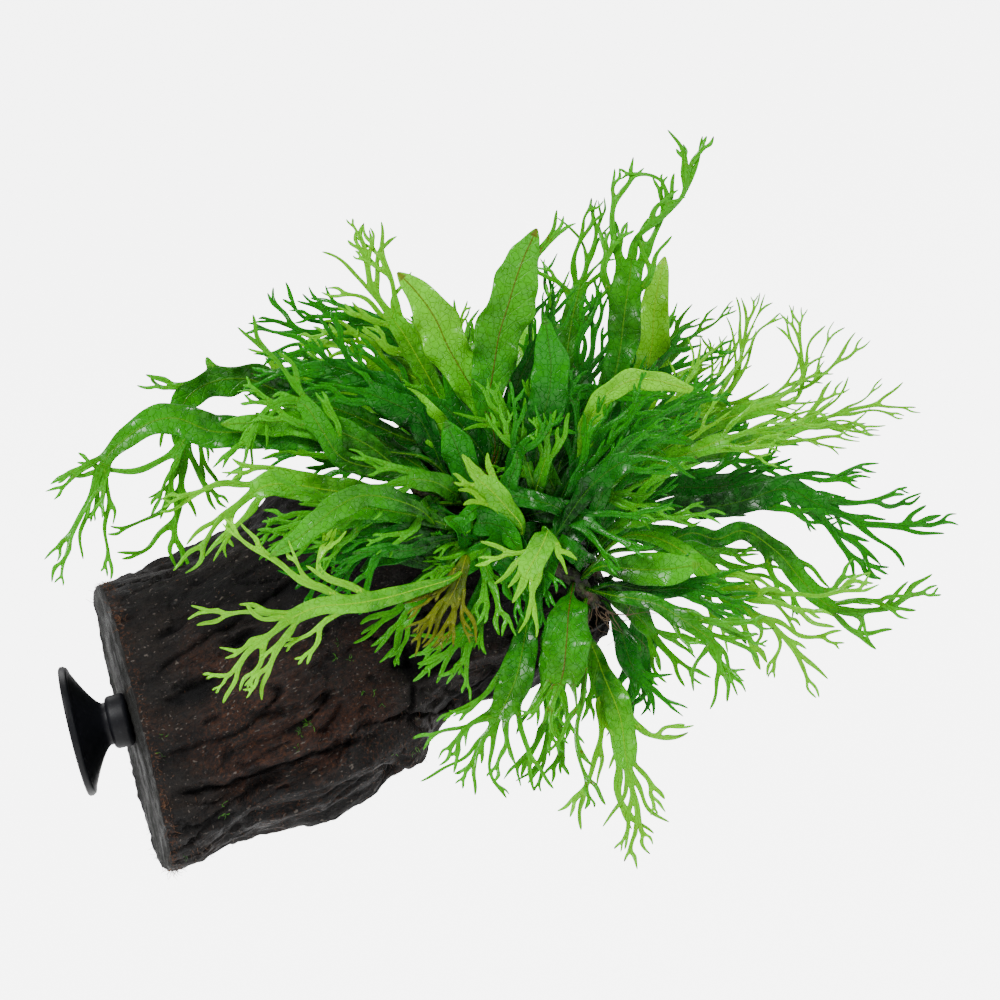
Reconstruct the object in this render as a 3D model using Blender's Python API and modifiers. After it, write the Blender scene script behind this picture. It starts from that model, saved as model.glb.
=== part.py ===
# A lace-leaved java fern grown on a sawn chunk of driftwood, which a rubber suction cup holds
# against an aquarium's glass. Metres, +Z up. The origin is the middle of the cup's lip, in the
# plane of the glass, and +X runs from the glass into the wood.
#
# The wood and the fern are laid out in a viewer's frame, in millimetres: u runs to the right, v
# up and d away from a viewer who looks at the long side. The empty viewer_frame turns that frame
# into the part's own, so each point in the lists below reads as a place seen from the front.

from math import atan2, cos, exp, hypot, pi, radians, sin

import bmesh
import bpy
from mathutils import Matrix, Vector, noise

MM = 0.001

# The viewer: how far to the side, above and tilted, how far away, and where the gaze meets d = 0
VIEW_AZIMUTH = radians(1)
VIEW_ELEVATION = radians(11)
VIEW_ROLL = radians(-14)
SIGHT_DISTANCE = 2080
GAZE_U, GAZE_V = 105.75, 58
# Where the part's origin lies in the viewer's frame
ORIGIN_U = -0.8

# Touching pieces keep this gap
GAP = 0.3

# Suction cup, along its axis from the glass
CUP_RADIUS = 16.6
CUP_LIP_WIDTH = 2.2
CUP_LIP_THICKNESS = 1.5
CUP_HOLLOW_DEPTH = 6.5
CUP_NECK_RADIUS = 5.4
CUP_NECK_AT = 8.4
COLLAR_RADIUS = 6.75
COLLAR_START = 9.2
COLLAR_END = 14.6
COLLAR_ROUNDING = 0.9
CUP_STEPS = 24

# Driftwood: its top and bottom edges as the viewer sees them, and half its depth along them
WOOD_TOP = [(5, 36.5), (16, 40), (28, 44), (41, 51), (50, 60), (57, 62), (70, 61), (84, 58.5),
            (97, 55), (108, 51), (118, 47), (127, 41), (133, 33)]
WOOD_BOTTOM = [(22.5, -34.5), (30, -33), (38, -27.5), (46, -24), (62, -21.5), (73, -16), (80, -10),
               (87, -4), (89, 0), (94, 5), (101, 9), (113, 12.5), (125, 18), (133, 27)]
WOOD_HALF_DEPTH = [27, 28, 27, 25.5, 24, 22, 20, 18, 16, 13, 8]
WOOD_CORNERS = (3.0, 2.6)
WOOD_CUT_TURN = radians(5.5)
WOOD_AROUND, WOOD_ALONG = 32, 22
WOOD_ROUGHNESS = 1.5
WOOD_RIDGES, WOOD_RIDGE_HEIGHT = 9, 1.3
# The fissure along the front, from its left to its right end, and the slab that stands out below
FISSURE = ((18, -17), (88, 1))
FISSURE_DEPTH, FISSURE_WIDTH = 3.0, 3.2
SLAB_PROUD = 2.2
# Pits in the front: u, v, radius, depth
WOOD_PITS = [(86, 19, 7, 4), (28, 9, 5, 2.5), (40, 23, 5, 2)]

# Rhizomes, the creeping stems: one over the top edge to the back, one down the front
RHIZOME_RADIUS = 2.3
RHIZOME_TOP = [(84, 60.6, -8), (95, 58.2, -7), (104, 55.8, -4), (112, 53.6, 1), (119, 50.8, 6.4),
               (126, 44, 9.8), (131, 37.5, 11)]
RHIZOME_FRONT = [(86, 46.5, -20.6), (93, 45, -19.9), (101, 45.5, -18.9), (110, 45, -17.1),
                 (118, 42.5, -15.9), (125, 37.5, -15), (130, 31.5, -11.6)]

# The fern's leaves lie in pages, from -9 in front to 8 at the back, that part with distance from
# the fern's heart, so that no leaf runs through another
HEART = (113, 54)
HEART_DEPTH = -1.0
PAGE_GAP, PAGE_SPREAD, PAGE_REACH = 2.2, 5.0, 60
LEAF_THICKNESS = 0.8
STALK_WIDTH = 1.5
STALK_SHARE = 0.2
TIP_WIDTH = 1.6
BLADE_END = 0.8
LOBE_BASE = 2.6
LOBE_WIDTH = 1.5
LONGEST_ROW = 0.11

# Each leaf: its page, greatest width, tone, route from the rhizome to its tip, and its lobes. Its
# root is the place on the rhizome where it starts, where that isn't the nearest one. A
# lobe has its place along the leaf from 0 to 1, its tip, and a point on its way where it bends.
LEAVES = {
    # Upright leaves
    "leaf_top_1": dict(page=-3, wide=11.5, tone="bright", blunt=True, twist=(10, 5),
        route=[(105.5, 70.5), (102.5, 80), (97.5, 88), (93, 96), (89, 104.5), (84, 111), (80, 115)]),
    "leaf_top_2": dict(page=-4, wide=13.5, tone="mid", blunt=True, twist=(0, -12),
        route=[(104.5, 70), (103, 81), (104, 90), (105.5, 99), (108, 108), (111, 117), (115, 126)],
        lobes=[(0.93, 119.5, 124.5)]),
    "leaf_top_3": dict(page=0, wide=5.5, tone="bright", twist=(30, -20),
        route=[(98, 68), (91, 83), (82, 99), (76, 107), (73, 114), (72, 126)],
        lobes=[(0.70, 63.5, 111), (0.70, 84, 115), (0.82, 61, 120), (0.82, 79, 124), (0.91, 68, 124)]),
    "leaf_top_4": dict(page=3, wide=5.5, tone="mid", twist=(-40, 20),
        route=[(121, 70), (121.5, 83), (123, 98), (125.5, 110), (129, 121), (130.5, 132.5)],
        lobes=[(0.70, 115, 116, 120, 113), (0.78, 134, 120), (0.86, 119.5, 128.5), (0.86, 134, 128)]),
    "leaf_top_5": dict(page=1, wide=8.5, tone="mid", twist=(0, 25), root=(116, 52.5),
        route=[(128, 70), (131, 78), (135, 91), (136.5, 101.5), (138.5, 115), (139.5, 123),
               (143, 128), (148, 129.5), (152, 134), (153, 147)],
        lobes=[(0.87, 137, 138.5, 146, 139), (0.94, 148, 151), (0.94, 157, 149)]),
    "leaf_top_6": dict(page=4, wide=9, tone="pale", blunt=True, twist=(-35, 10),
        route=[(131, 72), (137, 81), (143, 93), (144.5, 107), (147, 119)]),
    "leaf_top_7": dict(page=-5, wide=6.5, tone="pale", blunt=True, twist=(0, -30),
        route=[(126, 66), (128, 77), (133, 85), (142, 88.5), (155.5, 85)]),
    "leaf_top_8": dict(page=-1, wide=9, tone="deep", twist=(35, -20),
        route=[(112.5, 68), (114, 78), (113.5, 90), (116, 102)],
        lobes=[(0.82, 110, 99), (0.82, 121, 102)]),
    "leaf_top_9": dict(page=2, wide=6.5, tone="deep", twist=(-30, 40), root=(113, 53.5),
        route=[(119, 68), (123.5, 80), (128, 93), (131, 107)],
        lobes=[(0.72, 124.5, 104), (0.72, 136, 101), (0.88, 128.5, 110)]),
    "leaf_top_10": dict(page=-6, wide=10, tone="deep", blunt=True, twist=(-35, 20),
        route=[(114, 64), (116, 76), (118.5, 88), (118, 97), (117, 104)]),
    # Leaves that arch to the left
    "leaf_left_1": dict(page=-2, wide=7.5, tone="deep", twist=(10, 35),
        route=[(98, 68), (81, 74), (66, 80.5), (50, 85.5), (42, 88.5), (33, 87.5), (27, 83), (25.5, 76),
               (27, 69), (26, 60), (24.5, 51), (25.5, 42)],
        lobes=[(0.60, 32.5, 94), (0.66, 20.5, 88), (0.78, 20.5, 58), (0.89, 8, 50.5, 17, 52.5),
               (0.95, 11, 44, 17, 46)]),
    "leaf_left_2": dict(page=-4, wide=7, tone="bright", twist=(0, -20),
        route=[(88, 68), (78, 70), (61, 73), (46, 75), (34, 75), (25, 78.5), (17.5, 77), (9.5, 71),
               (5, 64.5), (2, 55.5), (-2, 49), (-6.5, 44)],
        lobes=[(0.60, -1, 65.5, 18, 66), (0.80, 7, 40, 7.5, 53), (0.91, 1, 43)]),
    "leaf_left_3": dict(page=-5, wide=5.5, tone="mid", twist=(0, 20),
        route=[(88, 64), (81, 65), (67, 68), (61, 76), (57, 82), (51, 83.5), (46.5, 79), (43, 74),
               (40, 67)],
        lobes=[(0.80, 47, 71), (0.92, 36.5, 68), (0.92, 43.5, 65)]),
    "leaf_left_4": dict(page=-6, wide=7.5, tone="pale", twist=(0, -15),
        route=[(86, 57), (78, 58), (66, 60), (50, 62), (42, 58.5), (37, 54), (32, 48), (28, 41)],
        lobes=[(0.60, 38, 66), (0.84, 27, 47), (0.84, 38, 45)]),
    "leaf_left_5": dict(page=3, wide=8.5, tone="deep", twist=(-25, 35),
        route=[(98, 68), (94.5, 76), (90, 86), (83, 93), (77.5, 100), (70, 102), (62, 99.5), (55, 101),
               (48.5, 106)],
        lobes=[(0.70, 61, 109), (0.82, 52, 110), (0.82, 46.5, 93, 53, 96), (0.90, 42, 101)]),
    "leaf_left_6": dict(page=1, wide=8, tone="mid", twist=(-35, 25),
        route=[(101, 70), (93, 81), (84, 89), (75, 92), (67, 96.5), (57, 97)],
        lobes=[(0.72, 69, 86), (0.84, 63, 103), (0.84, 59, 91)]),
    "leaf_left_7": dict(page=-1, wide=8, tone="deep", twist=(25, -35),
        route=[(97, 68), (89, 75), (83, 80), (77, 83.5), (71, 86), (63, 91), (53, 94)],
        lobes=[(0.80, 59, 98), (0.80, 59, 86), (0.92, 49, 90)]),
    "leaf_left_8": dict(page=5, wide=5.5, tone="bright", twist=(35, 10),
        route=[(98, 69), (81, 79), (66, 85), (45.5, 91)],
        lobes=[(0.74, 53, 95.5), (0.74, 54, 83), (0.89, 45, 96)]),
    "leaf_left_9": dict(page=-3, wide=8.5, tone="bright", blunt=True, twist=(0, 15),
        route=[(98, 67), (93, 72), (88, 77.5), (84, 82), (79, 86.5)]),
    "leaf_left_10": dict(page=-7, wide=9, tone="deep", blunt=True, twist=(-10, 20),
        route=[(98.5, 55), (98, 62), (95.5, 70), (92, 78)]),
    # Leaves in front of the wood and of the fern's heart
    "leaf_front_1": dict(page=-9, wide=5, tone="bright", root=(99, 45.5),
        route=[(95, 39), (86, 36), (77, 33.5), (68, 32), (59, 31), (50, 26), (43, 20), (36, 11)],
        lobes=[(0.48, 64, 51, 60, 41), (0.56, 41, 50, 53, 40), (0.56, 58, 21), (0.72, 42, 32),
               (0.84, 36.5, 20)]),
    "leaf_front_2": dict(page=-7, wide=6, tone="deep", twist=(0, 15), root=(92, 45),
        route=[(90, 41), (82, 44), (73, 48), (63, 42), (56, 35)],
        lobes=[(0.62, 62, 50), (0.62, 67, 36), (0.84, 52, 41)]),
    "leaf_front_3": dict(page=-6, wide=6, tone="mid", twist=(0, -15),
        route=[(94, 41), (88, 38), (81, 31.5), (73, 27)],
        lobes=[(0.62, 73, 34), (0.62, 80, 21), (0.84, 69, 22)]),
    "leaf_front_4": dict(page=-8, wide=5.5, tone="mid", twist=(10, -10), root=(86, 47),
        route=[(82, 54), (77, 55), (71, 54.5), (58, 51), (47, 46.5)],
        lobes=[(0.60, 62, 58), (0.66, 64, 46), (0.84, 49, 54)]),
    "leaf_front_5": dict(page=-7, wide=5.5, tone="mid", twist=(20, -20),
        route=[(102, 40), (100, 31), (95, 22), (87, 17)],
        lobes=[(0.66, 96, 12), (0.66, 85, 23), (0.84, 90, 12)]),
    "leaf_front_6": dict(page=-9, wide=5, tone="bright",
        route=[(118, 51), (116, 46), (112, 39), (109, 32)],
        lobes=[(0.36, 101.5, 45), (0.42, 123, 44), (0.72, 114, 27), (0.72, 104, 37)]),
    "leaf_front_7": dict(page=-8, wide=5, tone="bright",
        route=[(111.5, 51), (107.5, 56), (104, 60), (99.5, 64), (96, 69.5)],
        lobes=[(0.55, 99, 57.5), (0.72, 94, 64.5), (0.72, 103, 70)]),
    "leaf_front_8": dict(page=-7, wide=11, tone="deep", blunt=True, twist=(10, -10),
        route=[(121.5, 46.5), (123.5, 51), (127, 59)]),
    # Leaves that reach to the right
    "leaf_right_1": dict(page=3, wide=5, tone="mid", twist=(-45, -10), root=(121, 49.5),
        route=[(131, 62), (146, 74), (158, 81), (164, 86), (166.5, 96), (168, 109)],
        lobes=[(0.78, 162, 104), (0.78, 177, 104.5, 171, 101), (0.89, 164.5, 109), (0.89, 173, 108)]),
    "leaf_right_2": dict(page=5, wide=4.5, tone="mid", twist=(40, 15), root=(128, 44),
        route=[(131, 66), (146, 77), (157, 84), (161, 90), (161, 97)],
        lobes=[(0.72, 154, 93), (0.72, 167, 92), (0.88, 157, 99), (0.88, 165, 98)]),
    "leaf_right_3": dict(page=0, wide=5, tone="mid", twist=(-30, 20), root=(113, 54),
        route=[(129.5, 66), (141, 77), (150, 84), (154, 89.5), (157.5, 98)],
        lobes=[(0.74, 148.5, 93), (0.74, 161.5, 91), (0.89, 153, 99)]),
    "leaf_right_4": dict(page=2, wide=4.5, tone="mid", twist=(35, -25), root=(118, 51.5),
        route=[(137, 64), (156, 76), (174, 81.5), (181, 83.5), (182.5, 88), (180.5, 93), (180.5, 99),
               (182.5, 105)],
        lobes=[(0.50, 189, 99, 188, 89), (0.88, 177, 102), (0.88, 187, 102)]),
    "leaf_right_5": dict(page=1, wide=4.5, tone="mid", twist=(-40, 20), root=(120, 50),
        route=[(136, 60), (156, 69), (176, 75), (188, 79), (196, 81), (206, 84)],
        lobes=[(0.64, 190, 71), (0.76, 193, 89), (0.76, 200, 75.5), (0.88, 201, 88), (0.88, 207, 79)]),
    "leaf_right_6": dict(page=0, wide=5.5, tone="deep", twist=(45, 0), root=(115, 53),
        route=[(137, 58), (149, 61), (158.5, 61), (167, 63), (176.5, 70)],
        lobes=[(0.58, 166, 72), (0.74, 178, 62)]),
    "leaf_right_7": dict(page=-2, wide=7, tone="deep", twist=(35, -15),
        route=[(134, 53.5), (149, 56), (161, 56.5), (169, 58.5), (177, 61), (185, 57), (192, 54),
               (200, 51.5), (209, 52), (217, 54.5)],
        lobes=[(0.60, 184, 65.5, 190, 63), (0.68, 198, 38.5, 196, 46), (0.80, 207, 41), (0.88, 217, 49)]),
    "leaf_right_8": dict(page=-3, wide=5.5, tone="mid", twist=(-25, 25),
        route=[(133, 45), (144, 46), (153.5, 50), (160, 48), (167, 50.5), (175.5, 44.5), (181.5, 37.5),
               (189, 31), (201, 30.5), (213, 38)],
        lobes=[(0.70, 192, 37), (0.82, 197, 24.5), (0.90, 210, 31)]),
    "leaf_right_9": dict(page=-6, wide=9, tone="mid", blunt=True, twist=(10, 0),
        route=[(131, 41.5), (136, 41), (145, 40.5), (156, 42)]),
    "leaf_right_10": dict(page=-5, wide=5, tone="deep", twist=(-20, 40),
        route=[(134, 37), (142, 35.5), (152.5, 36), (160, 34), (168, 34)],
        lobes=[(0.68, 165, 40), (0.68, 163, 27.5)]),
    "leaf_right_11": dict(page=-4, wide=5, tone="bright", twist=(25, -25),
        route=[(135, 48), (143, 49), (151, 45.5), (156, 41), (162, 35), (169, 29.5), (176, 25),
               (180, 20), (182, 13)],
        lobes=[(0.62, 197, 38, 185, 34), (0.74, 168, 20), (0.80, 190, 23), (0.86, 173, 14.5)]),
    "leaf_right_12": dict(page=-7, wide=4.5, tone="mid", twist=(30, -10),
        route=[(134, 34), (141, 33), (147, 31), (153, 27), (159.5, 22), (161, 16), (161, 9)],
        lobes=[(0.58, 167, 27), (0.74, 154, 10, 155, 18), (0.84, 166, 11)]),
    "leaf_right_13": dict(page=-1, wide=7.5, tone="deep", twist=(-35, 25), root=(110, 55.5),
        route=[(125, 67.5), (134, 72), (143, 78.5), (152, 83.5), (159, 88)],
        lobes=[(0.78, 150, 89), (0.78, 163, 83)]),
    "leaf_right_14": dict(page=-2, wide=5, tone="mid", twist=(-20, 40), root=(107, 56.5),
        route=[(124, 65), (138, 65), (151, 69), (163, 73.5), (178, 77), (187, 77)],
        lobes=[(0.56, 160, 81), (0.66, 173, 69), (0.82, 184, 83), (0.82, 186, 71)]),
    # Leaves that hang below
    "leaf_low_1": dict(page=-7, wide=10.5, tone="mid", twist=(0, 15),
        route=[(123, 31), (122.5, 25), (122, 19), (121, 13), (119, 7), (116.5, 1)],
        lobes=[(0.62, 132, -16.5, 125, -6), (0.74, 111, 3)]),
    "leaf_low_2": dict(page=-6, wide=8.5, tone="mid", twist=(15, -25),
        route=[(114, 34), (112, 24), (110, 14), (106, 5), (101, -3), (97, -13)],
        lobes=[(0.52, 94, 4, 101, 8), (0.62, 116, -12.5, 112, -3), (0.74, 86, -3, 94, 1),
               (0.80, 107, -17), (0.86, 85.5, -12)]),
    "leaf_low_3": dict(page=-5, wide=7.5, tone="bright", twist=(-15, 25),
        route=[(126, 28), (129.5, 20), (132.5, 12), (136, 3), (137, -5), (139, -14), (141, -29)],
        lobes=[(0.40, 124, -20.5, 130.5, -4), (0.56, 147, 4.5, 145, -2), (0.76, 131, -23.5),
               (0.76, 148, -23), (0.88, 135, -29)]),
    "leaf_low_4": dict(page=-3, wide=6, tone="deep", twist=(20, -40),
        route=[(132, 33), (136, 25), (139, 16), (145, 8)],
        lobes=[(0.74, 138, 6), (0.74, 149, 15)]),
    "leaf_low_5": dict(page=3, wide=7.5, tone="deep", twist=(40, -10),
        route=[(137, 40), (141, 28), (140, 15), (135, 3)],
        lobes=[(0.72, 144, 5), (0.72, 131, 11), (0.88, 139, 0)]),
    # Leaves on the far side
    "leaf_back_1": dict(page=7, wide=9.5, tone="mid", twist=(30, -40),
        route=[(108, 68), (98, 84), (86, 94), (74, 99)],
        lobes=[(0.78, 79, 104), (0.78, 77, 91)]),
    "leaf_back_2": dict(page=8, wide=9.5, tone="bright", blunt=True, twist=(-10, 30),
        route=[(115, 68), (112, 88), (110, 104), (108, 116)]),
    "leaf_back_3": dict(page=6, wide=8.5, tone="mid", twist=(45, -10),
        route=[(124, 64), (136, 84), (144, 96), (150, 106)],
        lobes=[(0.78, 141, 108), (0.78, 155, 97)]),
    "leaf_back_4": dict(page=7, wide=6.5, tone="deep", twist=(-30, 45),
        route=[(131, 60), (146, 68), (162, 72), (176, 74)],
        lobes=[(0.70, 165, 80), (0.70, 170, 65), (0.86, 177, 80)]),
    "leaf_back_5": dict(page=6, wide=7.5, tone="mid", twist=(40, -30),
        route=[(135, 50), (148, 48), (162, 42), (174, 36)],
        lobes=[(0.70, 170, 46), (0.70, 160, 34), (0.86, 176, 42)]),
    "leaf_back_6": dict(page=7, wide=8.5, tone="deep", twist=(-40, 30),
        route=[(102, 66), (84, 72), (66, 72), (48, 68)],
        lobes=[(0.72, 55, 76), (0.72, 56, 62), (0.86, 46, 74)]),
    "leaf_back_7": dict(page=8, wide=7, tone="mid", twist=(20, 35),
        route=[(108, 54), (96, 50), (82, 43), (70, 34)],
        lobes=[(0.74, 70, 45), (0.74, 78, 30)]),
}

# Hair roots that hang from the end of the front rhizome
ROOTS = dict(page=-4, wide=2, route=[(133, 28), (136, 25), (141, 24)],
             lobes=[(0.45, 132, 20), (0.70, 138, 19)])

TONES = {
    "deep": (0.012, 0.115, 0.014),
    "mid": (0.028, 0.200, 0.012),
    "bright": (0.085, 0.360, 0.012),
    "pale": (0.150, 0.420, 0.030),
}


def material(name, colour, roughness, metallic=0.0):
    mat = bpy.data.materials.get(name)
    if mat is None:
        mat = bpy.data.materials.new(name)
        mat.use_nodes = True
        shader = mat.node_tree.nodes["Principled BSDF"]
        shader.inputs["Base Color"].default_value = (*colour, 1)
        shader.inputs["Roughness"].default_value = roughness
        shader.inputs["Metallic"].default_value = metallic
    return mat


def add_object(name, data, mat, parent, collection):
    piece = bpy.data.objects.new(name, data)
    collection.objects.link(piece)
    piece.parent = parent
    if mat is not None:
        data.materials.append(mat)
    return piece


def seen_at(u, v, d):
    # The place, in the viewer's frame, that is seen at u, v from the sight distance
    spread = 1 + d / SIGHT_DISTANCE
    return Vector((GAZE_U + (u - GAZE_U) * spread, d, GAZE_V + (v - GAZE_V) * spread)) * MM


def viewer_frame(collection):
    sideways = Vector((cos(VIEW_AZIMUTH), sin(VIEW_AZIMUTH), 0))
    ahead = Vector((-sin(VIEW_AZIMUTH) * cos(VIEW_ELEVATION),
                    cos(VIEW_AZIMUTH) * cos(VIEW_ELEVATION), -sin(VIEW_ELEVATION)))
    above = sideways.cross(ahead)
    right = cos(VIEW_ROLL) * sideways + sin(VIEW_ROLL) * above
    up = cos(VIEW_ROLL) * above - sin(VIEW_ROLL) * sideways
    frame = bpy.data.objects.new("viewer_frame", None)
    collection.objects.link(frame)
    frame.matrix_world = Matrix((right, ahead, up)).transposed().to_4x4()
    frame.matrix_world.translation = -right * ORIGIN_U * MM
    return frame


def along(values, share):
    # The value at a share, 0 to 1, of the way through a list of numbers or points
    place = min(max(share, 0), 1) * (len(values) - 1)
    i = min(int(place), len(values) - 2)
    return values[i] + (values[i + 1] - values[i]) * (place - i)


def smooth_route(points, steps=8):
    # A smooth curve through the points, as close points with their shares of its length
    ends = [2 * points[0] - points[1], *points, 2 * points[-1] - points[-2]]
    curve = []
    for a, b, c, d in zip(ends, ends[1:], ends[2:], ends[3:]):
        for k in range(steps):
            t = k / steps
            curve.append(0.5 * (2 * b + (c - a) * t + (2 * a - 5 * b + 4 * c - d) * t ** 2
                                + (3 * b - a - 3 * c + d) * t ** 3))
    curve.append(points[-1])
    lengths = [0.0]
    for a, b in zip(curve, curve[1:]):
        lengths.append(lengths[-1] + (b - a).length)
    return curve, [x / lengths[-1] for x in lengths]


def on_route(route, share):
    curve, shares = route
    for i in range(len(shares) - 2):
        if share <= shares[i + 1]:
            break
    step = shares[i + 1] - shares[i]
    return curve[i].lerp(curve[i + 1], min(max((share - shares[i]) / step, 0), 1))


def suction_cup(collection):
    # A turned profile, from the middle of the collar's end down the outside and into the hollow
    profile = [(0, COLLAR_END), (COLLAR_RADIUS - COLLAR_ROUNDING, COLLAR_END),
               (COLLAR_RADIUS, COLLAR_END - COLLAR_ROUNDING),
               (COLLAR_RADIUS, COLLAR_START + COLLAR_ROUNDING),
               (COLLAR_RADIUS - COLLAR_ROUNDING, COLLAR_START), (CUP_NECK_RADIUS, CUP_NECK_AT)]
    flare_steps = 4
    for k in range(1, flare_steps + 1):
        turn = k / flare_steps
        radius = CUP_NECK_RADIUS + (CUP_RADIUS - CUP_NECK_RADIUS) * turn
        rise = CUP_NECK_AT - (CUP_NECK_AT - CUP_LIP_THICKNESS) * turn ** 0.72
        profile.append((radius, rise))
    inner = CUP_RADIUS - CUP_LIP_WIDTH
    profile += [(CUP_RADIUS, 0), (inner, 0)]
    hollow_steps = 4
    for k in range(1, hollow_steps + 1):
        turn = k / hollow_steps
        profile.append((inner * (1 - turn), CUP_HOLLOW_DEPTH * sin(turn * pi / 2) ** 1.3))
    mesh = bpy.data.meshes.new("suction_cup")
    mesh.from_pydata([(r * MM, 0, z * MM) for r, z in profile],
                     [(i, i + 1) for i in range(len(profile) - 1)], [])
    rubber = material("black rubber", (0.008, 0.009, 0.012), 0.35)
    cup = add_object("suction_cup", mesh, rubber, None, collection)
    cup.rotation_euler = (0, pi / 2, 0)
    turned = cup.modifiers.new("turned", "SCREW")
    turned.steps = turned.render_steps = CUP_STEPS
    turned.use_merge_vertices = True
    turned.merge_threshold = 0.00001
    return cup


def squared(x, corners):
    return abs(x) ** (2 / corners) * (1 if x > 0 else -1)


def wood_relief(u, v, front):
    # How far the front stands proud: the slab below the fissure, the fissure itself and the pits
    (u0, v0), (u1, v1) = FISSURE
    height = v - (v0 + (v1 - v0) * (u - u0) / (u1 - u0))
    proud = SLAB_PROUD * min(max(-height / 4, 0), 1) - FISSURE_DEPTH * exp(-(height / FISSURE_WIDTH) ** 2)
    for pit_u, pit_v, radius, depth in WOOD_PITS:
        proud -= depth * exp(-(hypot((u - pit_u) / 1.6, v - pit_v) / radius) ** 2)
    return proud * front


def wood_point(share, angle):
    top, bottom = along(WOOD_TOP_POINTS, share), along(WOOD_BOTTOM_POINTS, share)
    corners = along(WOOD_CORNERS, share)
    height, depth = squared(sin(angle), corners), squared(cos(angle), corners)
    flat = bottom + (top - bottom) * (height + 1) / 2
    half = along(WOOD_HALF_DEPTH, share)
    d = depth * half
    front = max(-cos(angle), 0) ** 0.5 * min(share * 12, 1)
    rough = noise.noise(Vector((share * 5, cos(angle) * 1.6, sin(angle) * 1.6))) * WOOD_ROUGHNESS
    bend = noise.noise(Vector((share * 2.5, cos(angle), sin(angle) + 7))) * 1.5
    turn = (angle / (2 * pi) * WOOD_RIDGES + bend) % 1
    rough += (abs(turn - 0.5) * 4 - 1) * WOOD_RIDGE_HEIGHT * min(share * 8, 1)
    d -= wood_relief(flat.x, flat.y, front)
    flat += (flat - (top + bottom) / 2).normalized() * rough * abs(sin(angle))
    flat.x -= sin(WOOD_CUT_TURN) * d * (1 - share) ** 2
    return seen_at(flat.x, flat.y, d + depth * rough)


def driftwood(parent, collection, cutters):
    # A cylinder, sliced along its length and shaped ring by ring
    mesh = bpy.data.meshes.new("driftwood")
    bm = bmesh.new()
    bmesh.ops.create_cone(bm, cap_ends=True, segments=WOOD_AROUND, radius1=1, radius2=1, depth=2)
    lengthwise = [e for e in bm.edges if abs(e.verts[0].co.z - e.verts[1].co.z) > 1]
    bmesh.ops.subdivide_edges(bm, edges=lengthwise, cuts=WOOD_ALONG - 1, use_grid_fill=True)
    for vert in bm.verts:
        vert.co = wood_point((vert.co.z + 1) / 2, atan2(vert.co.y, vert.co.x))
    bmesh.ops.recalc_face_normals(bm, faces=bm.faces)
    bm.to_mesh(mesh)
    bm.free()
    wet = material("wet wood", (0.020, 0.012, 0.009), 0.4)
    wood = add_object("driftwood", mesh, wet, parent, collection)

    # The collar sits in a shallow seat in the sawn end
    seat_depth = COLLAR_END + GAP
    bpy.ops.mesh.primitive_cylinder_add(
        vertices=CUP_STEPS, radius=(COLLAR_RADIUS + GAP) * MM, depth=seat_depth * MM,
        location=(seat_depth / 2 * MM, 0, 0), rotation=(0, pi / 2, 0))
    seat = bpy.context.object
    seat.name = "collar_seat"
    for home in list(seat.users_collection):
        home.objects.unlink(seat)
    cutters.objects.link(seat)
    seat.hide_render = True
    seat.display_type = "WIRE"
    cut = wood.modifiers.new("collar seat", "BOOLEAN")
    cut.operation = "DIFFERENCE"
    cut.object = seat
    return wood


def rhizome(name, points, parent, collection):
    spacing = 2.6 * RHIZOME_RADIUS
    route = smooth_route([Vector(p) for p in points])
    length = sum((b - a).length for a, b in zip(route[0], route[0][1:]))
    count = max(int(length / spacing), 3) + 1
    places = [on_route(route, i / (count - 1)) for i in range(count)]
    curve = bpy.data.curves.new(name, "CURVE")
    curve.dimensions = "3D"
    curve.bevel_depth = RHIZOME_RADIUS * MM
    curve.bevel_resolution = 2
    curve.use_fill_caps = True
    spline = curve.splines.new("POLY")
    spline.points.add(count - 1)
    for i, place in enumerate(places):
        spline.points[i].co = (*seen_at(*place), 1)
        spline.points[i].radius = 1 - 0.35 * (abs(2 * i / (count - 1) - 1)) ** 3
    add_object(name, curve, material("rhizome", (0.060, 0.075, 0.020), 0.55), parent, collection)
    return route[0]


def page_depth(page, u, v):
    reach = hypot(u - HEART[0], v - HEART[1])
    return HEART_DEPTH + page * (PAGE_GAP + PAGE_SPREAD * (1 - exp(-reach / PAGE_REACH)))


def stalk_base(target, root, stems):
    # The point beside a rhizome, a gap off its surface and towards the target: beside the point
    # that the viewer sees at root, or that is nearest to the target
    places = [p for stem in stems for p in stem]
    if root is not None:
        nearest = min(places, key=lambda p: hypot(p.x - root[0], p.y - root[1]))
    else:
        nearest = min(places, key=lambda p: (p - target).length)
    return nearest + (target - nearest).normalized() * (RHIZOME_RADIUS + GAP + LEAF_THICKNESS / 2)


def blade_width(share, wide, blunt):
    if share < STALK_SHARE:
        return STALK_WIDTH
    x = (share - STALK_SHARE) / (1 - STALK_SHARE)
    if blunt:
        return STALK_WIDTH + (wide - STALK_WIDTH) * sin(pi * min(x, 1) ** 1.3) ** 0.8
    swell = sin(pi * min(x / BLADE_END, 1)) ** 0.8
    return TIP_WIDTH + (wide - TIP_WIDTH) * swell * (1 if x < BLADE_END else 0)


def rows_for(lobes, length):
    # Shares of the leaf's length at which it has a row: both ends of each lobe's base, and more
    # where they would lie too far apart
    half = LOBE_BASE / 2 / length
    marks = {0.0, 1.0}
    for at in sorted({lobe[0] for lobe in lobes}):
        marks |= {at - half, at + half}
    marks = sorted(marks)
    rows = [0.0]
    for a, b in zip(marks, marks[1:]):
        parts = max(round((b - a) / LONGEST_ROW), 1)
        rows += [a + (b - a) * (k + 1) / parts for k in range(parts)]
    return rows


def across(direction, twist):
    # The way across the blade, in its plane, turned by twist about the leaf's own line
    side = Vector((-direction.y, direction.x, 0)).normalized()
    return side * cos(twist) + Vector((0, 0, 1)) * sin(twist)


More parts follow.
